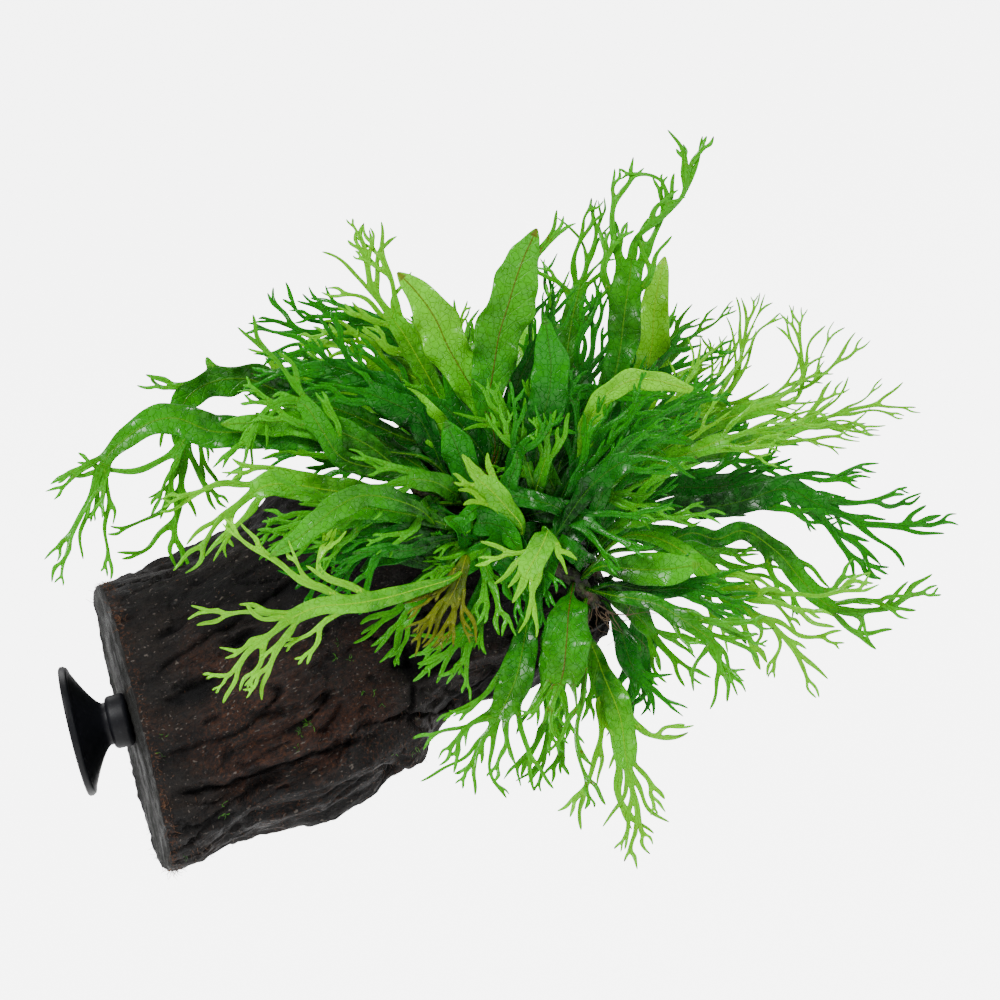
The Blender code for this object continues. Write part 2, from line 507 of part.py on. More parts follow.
def grow_lobe(bm, edge, lobe, page, direction):
    # The edge is drawn out twice: to the bend, and to a pointed tip
    start = sum((v.co for v in edge.verts), Vector()) / 2
    tip = Vector((lobe[1], lobe[2], page_depth(page, lobe[1], lobe[2])))
    if len(lobe) > 3:
        bend = Vector((lobe[3], lobe[4], page_depth(page, lobe[3], lobe[4])))
    else:
        bend = start + (direction * 0.45 + (tip - start).normalized() * 0.55) * (tip - start).length / 2
        bend.z = (start.z + tip.z) / 2
    for place, width in ((bend, LOBE_WIDTH), (tip, 0)):
        old = list(edge.verts)
        drawn = bmesh.ops.extrude_edge_only(bm, edges=[edge])["geom"]
        new = [g for g in drawn if isinstance(g, bmesh.types.BMVert)]
        edge = bm.edges.get(new)
        if (new[0].co - old[0].co).length > (new[1].co - old[0].co).length:
            new.reverse()
        side = across(tip - start, 0)
        if side.dot(old[0].co - old[1].co) < 0:
            side = -side
        new[0].co = place + side * width / 2
        new[1].co = place - side * width / 2


def leaf_sheet(leaf, stems):
    page, wide, lobes = leaf["page"], leaf["wide"], leaf.get("lobes", [])
    points = [Vector((u, v, page_depth(page, u, v))) for u, v in leaf["route"]]
    points.insert(0, stalk_base(points[0], leaf.get("root"), stems))
    route = smooth_route(points)
    length = sum((b - a).length for a, b in zip(route[0], route[0][1:]))
    rows = rows_for(lobes, length)
    twist = [radians(x) for x in leaf.get("twist", (0, 0))]

    bm = bmesh.new()
    bmesh.ops.create_grid(bm, x_segments=len(rows) - 1, y_segments=1, size=1)
    grid = {}
    for vert in bm.verts:
        row = round((vert.co.x + 1) / 2 * (len(rows) - 1))
        grid[row, vert.co.y > 0] = vert
    directions = {}
    for (row, left), vert in grid.items():
        share = rows[row]
        ahead = on_route(route, min(share + 0.01, 1)) - on_route(route, max(share - 0.01, 0))
        directions[row] = ahead.normalized()
        width = 0 if row == len(rows) - 1 else blade_width(share, wide, leaf.get("blunt", False))
        side = across(ahead, along(twist, share))
        vert.co = on_route(route, share) + side * width / 2 * (1 if left else -1)
    taken = set()
    for lobe in lobes:
        row = min(range(len(rows) - 1), key=lambda i: abs((rows[i] + rows[i + 1]) / 2 - lobe[0]))
        here = on_route(route, lobe[0])
        left = across(directions[row], 0).dot(Vector((lobe[1], lobe[2], here.z)) - here) > 0
        if (row, left) in taken:
            left = not left
        taken.add((row, left))
        edge = bm.edges.get((grid[row, left], grid[row + 1, left]))
        grow_lobe(bm, edge, lobe, page, directions[row])
    for vert in bm.verts:
        vert.co = seen_at(*vert.co)
    bmesh.ops.remove_doubles(bm, verts=bm.verts, dist=1e-6)
    return bm


def add_leaf(name, leaf, mat, stems, parent, collection):
    mesh = bpy.data.meshes.new(name)
    bm = leaf_sheet(leaf, stems)
    bm.to_mesh(mesh)
    bm.free()
    piece = add_object(name, mesh, mat, parent, collection)
    shell = piece.modifiers.new("thickness", "SOLIDIFY")
    shell.thickness = LEAF_THICKNESS * MM
    shell.offset = 0
    return piece


def build():
    for old in list(bpy.data.objects):
        bpy.data.objects.remove(old)
    collection = bpy.data.collections.new("java_fern_on_driftwood")
    cutters = bpy.data.collections.new("cutters")
    bpy.context.scene.collection.children.link(collection)
    bpy.context.scene.collection.children.link(cutters)
    frame = viewer_frame(collection)
    suction_cup(collection)
    driftwood(frame, collection, cutters)
    stems = []
    for name, points in (("rhizome_top", RHIZOME_TOP), ("rhizome_front", RHIZOME_FRONT)):
        stems.append(rhizome(name, points, frame, collection))
    for name, leaf in LEAVES.items():
        green = material(leaf["tone"] + " green leaf", TONES[leaf["tone"]], 0.35)
        add_leaf(name, leaf, green, stems, frame, collection)
    add_leaf("hair_roots", ROOTS, material("roots", (0.10, 0.05, 0.02), 0.8), stems, frame, collection)


WOOD_TOP_POINTS = [Vector(p) for p in WOOD_TOP]
WOOD_BOTTOM_POINTS = [Vector(p) for p in WOOD_BOTTOM]

build()
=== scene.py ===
from math import atan2, ceil, cos, exp, hypot, pi, radians, sin
import random

import bmesh
import bpy
from mathutils import Matrix, Vector, noise


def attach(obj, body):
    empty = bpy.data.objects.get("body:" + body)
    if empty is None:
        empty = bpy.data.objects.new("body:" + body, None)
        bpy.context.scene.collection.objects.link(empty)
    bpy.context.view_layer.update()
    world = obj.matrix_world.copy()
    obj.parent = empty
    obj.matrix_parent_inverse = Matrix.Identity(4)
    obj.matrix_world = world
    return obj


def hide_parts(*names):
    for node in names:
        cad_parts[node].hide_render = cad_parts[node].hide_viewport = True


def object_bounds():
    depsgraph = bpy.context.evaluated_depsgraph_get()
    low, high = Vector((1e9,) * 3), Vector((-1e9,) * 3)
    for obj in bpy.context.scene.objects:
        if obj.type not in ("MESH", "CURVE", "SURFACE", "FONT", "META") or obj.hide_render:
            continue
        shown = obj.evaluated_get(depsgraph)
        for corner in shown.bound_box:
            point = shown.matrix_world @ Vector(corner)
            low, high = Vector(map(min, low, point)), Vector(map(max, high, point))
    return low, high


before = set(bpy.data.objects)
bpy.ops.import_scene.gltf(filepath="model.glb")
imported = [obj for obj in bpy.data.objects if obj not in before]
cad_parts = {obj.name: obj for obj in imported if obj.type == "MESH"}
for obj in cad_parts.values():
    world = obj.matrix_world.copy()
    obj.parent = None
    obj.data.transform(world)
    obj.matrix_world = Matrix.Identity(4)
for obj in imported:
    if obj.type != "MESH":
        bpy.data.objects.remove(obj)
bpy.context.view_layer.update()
mm = 0.001

# The places below are in millimetres as the camera sees them: u to the right, v up, d away
view = {
    "azimuth": 1.0, "elevation": 11.0, "roll": -14.0,      # degrees
    "distance": 2080.0,       # from the camera to the plane d = 0
    "gaze": (105.75, 58.0),   # u and v in the middle of the picture
    "origin": -0.8,           # u of the part's own origin
    "width": 250.0,           # what the picture's width shows at d = 0
    "sensor": 36.0,
}


def viewerFrame():
    azimuth, elevation, roll = (radians(view[k]) for k in ("azimuth", "elevation", "roll"))
    sideways = Vector((cos(azimuth), sin(azimuth), 0))
    ahead = Vector((-sin(azimuth) * cos(elevation), cos(azimuth) * cos(elevation), -sin(elevation)))
    above = sideways.cross(ahead)
    right = cos(roll) * sideways + sin(roll) * above
    up = cos(roll) * above - sin(roll) * sideways
    place = Matrix((right, ahead, up)).transposed().to_4x4()
    place.translation = -right * view["origin"] * mm
    return place


viewer = viewerFrame()


def seenAt(u, v, d):
    # The place in the part's own frame that the camera sees at u, v
    widening = 1 + d / view["distance"]
    gazeU, gazeV = view["gaze"]
    place = Vector((gazeU + (u - gazeU) * widening, d, gazeV + (v - gazeV) * widening))
    return viewer @ (place * mm)


def addCamera():
    lens = bpy.data.cameras.new("pictureCamera")
    lens.sensor_width = view["sensor"]
    lens.sensor_fit = "HORIZONTAL"
    lens.lens = view["sensor"] * view["distance"] / view["width"]
    lens.clip_start, lens.clip_end = 0.1, 50
    camera = bpy.data.objects.new("pictureCamera", lens)
    bpy.context.scene.collection.objects.link(camera)
    right, ahead, up = (viewer.col[i].to_3d() for i in range(3))
    place = Matrix((right, up, -ahead)).transposed().to_4x4()
    gazeU, gazeV = view["gaze"]
    place.translation = viewer @ (Vector((gazeU, -view["distance"], gazeV)) * mm)
    camera.matrix_world = place
    bpy.context.scene.camera = camera


addCamera()
print("camera set")


def feed(node, inputs):
    # What goes into a node's inputs: another node's output is linked, a number or colour is set
    for key, value in inputs.items():
        socket = node.inputs[key]
        if isinstance(value, bpy.types.NodeSocket):
            node.id_data.links.new(value, socket)
        elif socket.type == "RGBA":
            socket.default_value = (*value, 1)
        elif value is not None:
            socket.default_value = value


def addNode(tree, kind, inputs={}, **settings):
    # The nodes stand in rows, in the order that they are added
    node = tree.nodes.new(kind)
    row, column = divmod(len(tree.nodes), 8)
    node.location = (200 * column, -280 * row)
    for key, value in settings.items():
        setattr(node, key, value)
    feed(node, inputs)
    return node


def newGroup(name, outputs):
    # A group that turns coordinates into masks
    tree = bpy.data.node_groups.new(name, "ShaderNodeTree")
    tree.interface.new_socket(name="Vector", in_out="INPUT", socket_type="NodeSocketVector")
    for label in outputs:
        tree.interface.new_socket(name=label, in_out="OUTPUT", socket_type="NodeSocketFloat")
    return tree, addNode(tree, "NodeGroupInput").outputs["Vector"], addNode(tree, "NodeGroupOutput")


def placeGroup(tree, group, vector):
    return addNode(tree, "ShaderNodeGroup", {"Vector": vector}, node_tree=group).outputs


def mixColour(tree, share, first, second):
    mix = addNode(tree, "ShaderNodeMix", {0: share, 6: first, 7: second}, data_type="RGBA")
    return mix.outputs[2]


def coatColour(tree, colour, *coats):
    # Each coat is how much of it shows, and its colour
    for share, tint in coats:
        colour = mixColour(tree, share, colour, tint)
    return colour


def reckon(tree, operation, first, second=None, third=None):
    inputs = {0: first, 1: second, 2: third}
    return addNode(tree, "ShaderNodeMath", inputs, operation=operation).outputs[0]


def times(tree, first, second):
    return reckon(tree, "MULTIPLY", first, second)


def spread(tree, value, low, high, toLow=0.0, toHigh=1.0):
    # A smooth ramp from toLow at low to toHigh at high
    inputs = {0: value, 1: low, 2: high, 3: toLow, 4: toHigh}
    return addNode(tree, "ShaderNodeMapRange", inputs, interpolation_type="SMOOTHSTEP").outputs[0]


def addNoise(tree, vector, scale, detail, rough):
    inputs = {"Vector": vector, "Scale": scale, "Detail": detail, "Roughness": rough}
    return addNode(tree, "ShaderNodeTexNoise", inputs).outputs[0]


def objectPlace(tree):
    return addNode(tree, "ShaderNodeTexCoord").outputs["Object"]


def attribute(tree, name, output="Fac"):
    return addNode(tree, "ShaderNodeAttribute", attribute_name=name).outputs[output]


def newMaterial(name, colour):
    mat = bpy.data.materials.new(name)
    mat.use_nodes = True
    mat.diffuse_color = (*colour, 1)
    tree = mat.node_tree
    return mat, tree, tree.nodes["Principled BSDF"]


def addBump(tree, shader, height, distance, strength=1.0):
    inputs = {"Strength": strength, "Distance": distance, "Height": height}
    feed(shader, {"Normal": addNode(tree, "ShaderNodeBump", inputs).outputs[0]})


def mottledMaterial(name, seen, dark, light, noiseOf, edges, gloss, relief, rust=None):
    # Two colours in soft patches, with rusty spots on some
    mat, tree, shader = newMaterial(name, seen)
    spot = objectPlace(tree)
    patch = spread(tree, addNoise(tree, spot, *noiseOf), *edges)
    colour = mixColour(tree, patch, dark, light)
    if rust:
        spots = spread(tree, addNoise(tree, spot, 240, 2, 0.5), 0.52, 0.7)
        colour = mixColour(tree, spots, colour, rust)
    feed(shader, {"Base Color": colour, "Roughness": spread(tree, patch, 0, 1, *gloss)})
    addBump(tree, shader, patch, *relief)
    return mat


def finishPiece(piece, mat, node=None):
    piece.data.materials.clear()
    piece.data.materials.append(mat)
    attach(piece, "root")
    if node:
        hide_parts(node)


def meshPiece(bm, name, mat, node=None, closed=True):
    # A piece from a mesh in u, v, d
    for vert in bm.verts:
        vert.co = seenAt(*vert.co)
    for face in bm.faces:
        face.smooth = True
    if closed:
        bmesh.ops.recalc_face_normals(bm, faces=bm.faces)
    mesh = bpy.data.meshes.new(name)
    bm.to_mesh(mesh)
    bm.free()
    piece = bpy.data.objects.new(name, mesh)
    bpy.context.scene.collection.objects.link(piece)
    finishPiece(piece, mat, node)
    return piece


def held(value, low=0, high=1):
    return min(max(value, low), high)


def ripple(x, y, z):
    return noise.noise(Vector((x, y, z)))


def drawn(dice, *spans):
    # A vector with each part drawn from its own span
    return Vector([dice.uniform(low, high) for low, high in spans])


def along(values, share):
    place = held(share) * (len(values) - 1)
    i = min(int(place), len(values) - 2)
    return values[i] + (values[i + 1] - values[i]) * (place - i)


def smoothRoute(points, steps=8):
    # A smooth curve through the points, with each place's share of its length, and its length
    ends = [2 * points[0] - points[1], *points, 2 * points[-1] - points[-2]]
    curve = []
    for a, b, c, d in zip(ends, ends[1:], ends[2:], ends[3:]):
        for k in range(steps):
            t = k / steps
            curve.append(0.5 * (2 * b + (c - a) * t + (2 * a - 5 * b + 4 * c - d) * t ** 2
                                + (3 * b - a - 3 * c + d) * t ** 3))
    curve.append(points[-1])
    lengths = [0.0]
    for a, b in zip(curve, curve[1:]):
        lengths.append(lengths[-1] + (b - a).length)
    return curve, [x / lengths[-1] for x in lengths], lengths[-1]


def onRoute(route, share):
    curve, shares = route[:2]
    for i in range(len(shares) - 1):
        if share <= shares[i + 1]:
            break
    step = max(shares[i + 1] - shares[i], 1e-9)
    return curve[i].lerp(curve[i + 1], held((share - shares[i]) / step))


def headingOf(route, share, step=0.015):
    onward, back = onRoute(route, min(share + step, 1)), onRoute(route, max(share - step, 0))
    return (onward - back).normalized()


def ringOf(bm, spot, side, up, sizes):
    # Vertices round a place, each at its own distance
    ring = []
    for k, size in enumerate(sizes):
        turn = 2 * pi * k / len(sizes)
        ring.append(bm.verts.new(spot + (side * cos(turn) + up * sin(turn)) * size))
    return ring


def bridgeRings(bm, rings):
    for a, b in zip(rings, rings[1:]):
        for k in range(len(a)):
            n = (k + 1) % len(a)
            bm.faces.new((a[k], a[n], b[n], b[k]))


# Driftwood. It is carved from a cylinder whose ends are its sawn end and its right end.
wood = {
    # Top and bottom edges from the sawn end to the right, and half the depth along them
    "top": [(5, 36.5), (16, 40), (28, 44), (41, 51), (50, 60), (57, 62), (70, 61), (84, 58.5),
            (97, 55), (108, 51), (118, 47), (127, 41), (133, 33)],
    "bottom": [(22.5, -34.5), (30, -33), (38, -27.5), (46, -24), (62, -21.5), (73, -16), (80, -10),
               (87, -4), (89, 0), (94, 5), (101, 9), (113, 12.5), (125, 18), (133, 27)],
    "halfDepth": [27, 28, 27, 25.5, 24, 22, 20, 18, 16, 13, 8],
    "length": 150,                    # along the grain, for the pattern
    "corners": [3.0, 2.6],            # how square it is at each end
    "evenFor": (2.8, 25, 33),         # squareness, half depth and half height that its faces suit
    "cutTurn": 5.5,                   # degrees that the sawn end faces the camera
    "around": 330, "along": 16,       # faces round it, and the root of their number along it
    "roughness": 1.5, "ridges": 9, "ridgeHeight": 1.3, "ridgeBend": 1.5, "crackWidth": 0.035,
    "onset": {"front": 14, "ridges": 8, "grain": 9},      # how soon each sets in from the sawn end
    # The slab that stands out below this line, and how far
    "slab": [(15, -19), (24, -18), (36, -17.5), (44, -17.5), (51, -14), (56, -12), (65, -7.5),
             (67.5, -2), (70, 1.5), (80, 3), (90, 4), (100, 9)],
    "slabProud": 2.4, "layer": 2.7, "layerStep": 0.75,
    # Fissures in the front: depth, half width and points
    "fissures": [
        (3.0, 0.9, [(18, -17), (27, -14.5), (34, -13), (43.5, -11), (56, -6), (66, -3.5),
                    (74, -1)]),
        (1.6, 0.8, [(17, -7), (24, -4.5), (34, -2), (46, 4.5), (56, 7)]),
        (1.9, 0.6, [(38, -8.5), (44, -6.5), (52, -2)]),
        (1.7, 0.9, [(14, 12), (22, 18), (33, 25), (46, 33), (58, 41)]),
        (1.4, 0.7, [(10, 26), (19, 30), (30, 37), (41, 44)]),
        (1.6, 0.9, [(66, 9), (63, 3), (60, -2)]),
        (2.6, 1.3, [(80, 27), (79, 17), (86, 16), (99, 20)]),
        (2.0, 0.9, [(91, 13), (96, 8), (88, 2)]),
    ],
    "fissureNear": 9,                 # how far past its ends a fissure can be felt
    # Hollows: u, v, half length along the grain, half height, depth
    "hollows": [(27, 10, 7.5, 2.6, 4.0), (40.5, 23, 5.5, 2.2, 3.4), (88, 21.5, 10, 4.2, 5.0),
                (52, 36, 9, 3.0, 2.2), (66, 40, 12, 4.0, 2.6), (44, -14, 5, 1.2, 2.2),
                (58, 15, 6, 2.0, 1.4)],
    "grainRise": 0.36,                # how steeply the grain climbs to the right
    "flapDepth": 1.5, "sawLines": 0.12,                   # how deep the sawn end is torn and scored
    "rimWidth": 4.5,                  # how far the rusty fuzz reaches from the cut
    "insets": (0.03, 0.05, 0.07, 0.1, 0.15, 0.2, 0.2),    # rings of faces on both ends
}
# Noise that follows the grain: its length and width, where it starts along x and z, its height
grainWaves = {
    "sway": (30, 26, 0, 0, 2.0), "broad": (30, 6.5, 0, 0, 1.9), "narrow": (15, 2.9, 7, 0, 1.15),
    "fine": (4.5, 1.5, 0, 0, 0.50), "crumb": (2.6, 2.1, 0, 30, 0.55), "patch": (17, 9, 0, 60, 3),
    "crack": (40, 7, 9, 0, 2.2), "gape": (18, 11, 3, 0, 3), "chip": (7, 5, 40, 0, 0.9),
}
high = {name: wave[-1] for name, wave in grainWaves.items()}
# The pattern's noises: stretch along and across the grain, detail, roughness
barkNoise = {
    "Grain": (110, 700, 6, 0.65), "Fibre": (300, 2600, 5, 0.7), "Patch": (30, 75, 5, 0.62),
    "Crumb": (900, 1300, 3, 0.7), "Speck": (800, 1500, 1, 0.5),
}
# hollow is painted shade: it darkens the wood's grooves, cracks, fissures and hollows
woodMasks = ("hollow", "sawn", "ruddy", "slate", "rim")
woodTop = [Vector(p) for p in wood["top"]]
woodBottom = [Vector(p) for p in wood["bottom"]]


def squared(x, corners):
    return abs(x) ** (2 / corners) * (1 if x > 0 else -1)


def evenTurns(steps=1440):
    # Angles round the wood at even steps along its outline
    corners, halfDepth, halfHeight = wood["evenFor"]
    turns = [2 * pi * k / steps for k in range(steps + 1)]
    places = [Vector((squared(cos(t), corners) * halfDepth, squared(sin(t), corners) * halfHeight))
              for t in turns]
    far = [0.0]
    for a, b in zip(places, places[1:]):
        far.append(far[-1] + (b - a).length)
    turns, k = [], 0
    for n in range(steps + 1):
        while k < steps - 1 and far[k + 1] < far[-1] * n / steps:
            k += 1
        part = (far[-1] * n / steps - far[k]) / (far[k + 1] - far[k])
        turns.append(2 * pi * (k + part) / steps)
    return turns


turnsRound = evenTurns()


def lineHeight(points, u):
    for (a, b), (c, e) in zip(points, points[1:]):
        if u <= c:
            break
    return b + (e - b) * (u - a) / (c - a)


def fissureDepth(spot, depth, width, points):
    nearest, place = 99.0, 0.0
    for n, (a, b) in enumerate(zip(points, points[1:])):
        a, b = Vector(a), Vector(b)
        t = held((spot - a).dot(b - a) / (b - a).length_squared)
        off = (spot - a.lerp(b, t)).length
        if off < nearest:
            nearest, place = off, (n + t) / (len(points) - 1)
    if nearest >= width * 3:
        return 0
    return depth * exp(-(nearest / width) ** 2) * min(1, 0.2 + 5 * min(place, 1 - place))


def frontRelief(u, v):
    # The slab, its layers, the fissures and the hollows in the front, outward
    wander = Vector((ripple(u / 5, v / 5, 3), ripple(u / 5, v / 5, 8))) * 1.3
    spot = Vector((u, v)) + wander
    below = lineHeight(wood["slab"], spot.x) - spot.y
    proud = wood["slabProud"] * held(below / 0.7)
    if below > 0:
        layer = (below + 0.06 * u + 1.3 * ripple(u / 13, v / 30, 5)) / wood["layer"]
        edge = layer - int(layer)
        proud -= wood["layerStep"] * (min(int(layer), 4) + min(edge / 0.15, 1)) * 0.5
    for depth, width, points in wood["fissures"]:
        low, high = sorted((points[0][0], points[-1][0]))
        if low - wood["fissureNear"] < u < high + wood["fissureNear"]:
            proud -= fissureDepth(spot, depth, width, points)
    for pitU, pitV, long, tall, depth in wood["hollows"]:
        du = spot.x - pitU
        dv = spot.y - pitV - wood["grainRise"] * du
        gap = (du / long) ** 2 + (dv / tall) ** 2
        if gap < 4:
            proud -= depth * exp(-gap ** 1.5)
    return proud


def grainRelief(x, y, z):
    # Long ridges, crumbled spots, cracks and chips that run with the grain, outward
    def wave(name):
        long, wide, startX, startZ = grainWaves[name][:4]
        return ripple(x / long + startX, y / wide, z / wide + startZ)

    sway = high["sway"] * wave("sway")
    y, z = y + sway, z - sway
    relief = high["broad"] * (0.5 - abs(wave("broad")) - 0.25)
    relief += high["narrow"] * (0.5 - abs(wave("narrow")) - 0.3)
    relief += high["fine"] * wave("fine")
    relief += high["crumb"] * held(wave("patch") * high["patch"] + 0.5) * wave("crumb")
    crack = exp(-(wave("crack") / wood["crackWidth"]) ** 2)
    relief -= high["crack"] * held(wave("gape") * high["gape"] + 0.5) * crack
    relief -= high["chip"] * held(wave("chip") * 6 - 1.8)
    return relief


def woodPlace(share, angle):
    # The bare form: its place in u, v, d, its depth from -1 to 1, and its place across the grain
    top, bottom = along(woodTop, share), along(woodBottom, share)
    corners = along(wood["corners"], share)
    height, depth = squared(sin(angle), corners), squared(cos(angle), corners)
    flat = bottom + (top - bottom) * (height + 1) / 2
    d = depth * along(wood["halfDepth"], share)
    grain = (share * wood["length"], d, height * (top - bottom).length / 2)
    return flat, d, depth, grain, (top + bottom) / 2


def woodPoint(share, angle):
    flat, d, depth, grain, middle = woodPlace(share, angle)
    onset = {name: share * soon for name, soon in wood["onset"].items()}
    front = max(-cos(angle), 0) ** 0.5 * min(onset["front"], 1)
    rough = ripple(share * 5, cos(angle) * 1.6, sin(angle) * 1.6) * wood["roughness"]
    bend = ripple(share * 2.5, cos(angle), sin(angle) + 7) * wood["ridgeBend"]
    turn = (angle / (2 * pi) * wood["ridges"] + bend) % 1
    rough += (abs(turn - 0.5) * 4 - 1) * wood["ridgeHeight"] * min(onset["ridges"], 1)
    fine = grainRelief(*grain) * min(0.3 + onset["grain"], 1)
    cut = frontRelief(flat.x, flat.y) * front if front > 0 else 0
    rough += fine
    d -= cut
    flat += (flat - middle).normalized() * rough * abs(sin(angle))
    flat.x -= sin(radians(wood["cutTurn"])) * d * (1 - share) ** 2
    return Vector((flat.x, flat.y, d + depth * rough)), fine, cut


def cutRelief(place, radius):
    # How far the sawn end is torn, with saw lines across it
    torn = ripple(place.y / 9, place.z / 9, 2)
    torn += 0.5 * ripple(place.y / 3, place.z / 3, 8)
    rim = held((radius - 0.72) / 0.28)
    lines = wood["sawLines"] * sin(place.y * 2.2 + place.z * 0.35)
    return wood["flapDepth"] * (0.25 + rim) * torn * 0.6 + lines


def barkGroup():
    # From coordinates that run with the grain
    tree, vector, out = newGroup("woodGrain", [*barkNoise, "Height"])
    made = {}
    for label, (long, across, detail, rough) in barkNoise.items():
        scale = (long, across, across)
        place = addNode(tree, "ShaderNodeMapping", {"Vector": vector, "Scale": scale}).outputs[0]
        made[label] = addNoise(tree, place, 1, detail, rough)
    made["Speck"] = spread(tree, made["Speck"], 0.66, 0.72)
    made["Height"] = made["Grain"]
    for label, share in (("Fibre", 0.6), ("Crumb", 0.9), ("Speck", 0.3)):
        made["Height"] = reckon(tree, "MULTIPLY_ADD", made[label], share, made["Height"])
    feed(out, made)
    return tree


grainGroup = barkGroup()


def wetWoodMaterial():
    mat, tree, shader = newMaterial("wetWood", (0.02, 0.012, 0.009))
    mask = {name: attribute(tree, name) for name in woodMasks}
    grain = placeGroup(tree, grainGroup, attribute(tree, "grainPlace", "Vector"))
    red = times(tree, mask["ruddy"], spread(tree, grain["Patch"], 0.40, 0.56, 0.2, 1))
    rust = reckon(tree, "MAXIMUM", times(tree, mask["ruddy"], 0.55), mask["rim"])
    rust = times(tree, rust, spread(tree, grain["Crumb"], 0.50, 0.66, 0, 0.9))
    crumb = spread(tree, grain["Crumb"], 0.36, 0.50, 0.85, 0.0)
    pale = mixColour(tree, grain["Patch"], (0.0020, 0.0021, 0.0014), (0.0160, 0.0165, 0.0110))
    pale = mixColour(tree, crumb, pale, (0.0015, 0.0014, 0.0010))
    patch = spread(tree, grain["Patch"], 0.36, 0.62)
    colour = mixColour(tree, patch, (0.0020, 0.0014, 0.0011), (0.0120, 0.0078, 0.0054))
    colour = coatColour(
        tree, colour,
        (red, (0.0300, 0.0095, 0.0044)),
        (times(tree, mask["slate"], 0.85), (0.0046, 0.0052, 0.0052)),
        (spread(tree, grain["Grain"], 0.52, 0.72, 0.0, 0.6), (0.0260, 0.0180, 0.0130)),
        (spread(tree, grain["Grain"], 0.30, 0.44, 0.8, 0.0), (0.0010, 0.0007, 0.0006)),
        (rust, (0.1050, 0.0350, 0.0110)),
        (crumb, (0.0012, 0.0009, 0.0008)),
        (times(tree, grain["Speck"], 0.75), (0.1500, 0.1250, 0.1050)),
        # Painted shade: near black where the grooves, cracks, fissures and hollows sink in
        (mask["hollow"], (0.0006, 0.0004, 0.0004)),
        (mask["sawn"], pale))
    wet = spread(tree, addNoise(tree, objectPlace(tree), 130, 4, 0.6), 0.35, 0.65, 0.30, 0.75)
    wet = reckon(tree, "MULTIPLY_ADD", grain["Crumb"], 0.2, wet)
    feed(shader, {"Base Color": colour, "Roughness": wet, "Specular IOR Level": 0.30})
    addBump(tree, shader, grain["Height"], 0.0016)
    return mat


def selectIn(mesh, chosen, kind):
    # Only the edges or faces that are chosen
    bm = bmesh.from_edit_mesh(mesh)
    bpy.ops.mesh.select_all(action="DESELECT")
    for element in getattr(bm, kind):
        if chosen(element):
            element.select_set(True)
    bmesh.update_edit_mesh(mesh)


def addDriftwood():
    bpy.ops.object.select_all(action="DESELECT")
    bpy.ops.mesh.primitive_cylinder_add(vertices=wood["around"], radius=1, depth=2)
    piece = bpy.context.object
    piece.name = piece.data.name = "driftwoodCarved"
    mesh = piece.data
    bpy.ops.object.mode_set(mode="EDIT")
    for passes in range(2):
        selectIn(mesh, lambda edge: abs(edge.verts[0].co.z - edge.verts[1].co.z) > 0.05, "edges")
        bpy.ops.mesh.subdivide(number_cuts=wood["along"] - 1)
    for inset in wood["insets"]:
        selectIn(mesh, lambda face: len(face.verts) > 10, "faces")
        bpy.ops.mesh.inset(thickness=inset, depth=0)
    bpy.ops.mesh.poke()
    bpy.ops.object.mode_set(mode="OBJECT")

    mesh.attributes.new("grainPlace", "FLOAT_VECTOR", "POINT")
    for name in woodMasks:
        mesh.attributes.new(name, "FLOAT", "POINT")
    grainPlace = mesh.attributes["grainPlace"].data
    masks = {name: mesh.attributes[name].data for name in woodMasks}
    centres = []
    for end in (0, 1):
        rim = [woodPoint(end, 2 * pi * k / 60)[0] for k in range(60)]
        centres.append(sum(rim, Vector()) / len(rim))
    for i, vert in enumerate(mesh.vertices):
        share, radius = (vert.co.z + 1) / 2, hypot(vert.co.x, vert.co.y)
        angle = along(turnsRound, (atan2(vert.co.y, vert.co.x) / (2 * pi)) % 1)
        end = 0 if share < 0.001 else 1 if share > 0.999 else None
        if end is not None:
            share = end
        place, fine, cut = woodPoint(share, angle)
        x, y, z = woodPlace(share, angle)[3]
        grainPlace[i].vector = Vector((x, y * radius, z * radius)) * mm
        u, v, front = place.x, place.y, cos(angle) < 0.15
        if end is not None:
            place = centres[end].lerp(place, radius)
            place.x += cutRelief(place, radius) * (1 if radius < 0.999 else 0.4)
            masks["sawn"][i].value = 1.0 if end == 0 and radius < 0.999 else 0.0
        else:
            # Painted shade for the material: darker where the grain's grooves and cracks and the
            # front's fissures and hollows sink in
            grooveShade = held(-fine * 0.8 - 0.25, 0, 0.8)
            deep = held(-cut / 2.2 - 0.25) if front else 0
            masks["hollow"][i].value = max(grooveShade, deep)
            masks["rim"][i].value = max(1 - share * wood["length"] / wood["rimWidth"], 0)
            blot = ripple(u / 16, v / 12, y / 16)
            masks["ruddy"][i].value = held(1.25 - hypot((u - 55) / 40, v / 22) + blot)
            below = lineHeight(wood["slab"], u) - v if front else -v - 8
            masks["slate"][i].value = held((below + 5 * blot) / 3) * held((u - 30) / 12)
        vert.co = seenAt(*place)
    bm = bmesh.new()
    bm.from_mesh(mesh)
    bmesh.ops.recalc_face_normals(bm, faces=bm.faces)
    bm.to_mesh(mesh)
    bm.free()
    for face in mesh.polygons:
        face.use_smooth = True
    finishPiece(piece, wetWoodMaterial(), "driftwood")


addDriftwood()
print("driftwood carved")

# Torn fibres along the cut's rim and over the wood, and flecks of moss at (u, v)
fuzz = {
    "rim": 420, "loose": 420, "length": (0.8, 2.8), "radius": 0.075, "seed": 11,
    "moss": [(18.5, -3), (36.5, -19), (27.5, -31), (63, 20.8), (65, 20), (73.3, 8), (56.5, -1),
             (58, 1), (79, -4.8), (85, -4.3)],
    "mossCount": 9, "mossLength": (0.9, 2.0), "mossRadius": 0.13,
    "tries": 2500,            # places on the wood that the moss takes its own from
}


def fuzzMaterial(name, dark, light, dull):
    return mottledMaterial(name, light, dark, light, (420, 2, 0.6), (0.38, 0.62),
                           (dull - 0.15, dull), (0.00005, 0.4))


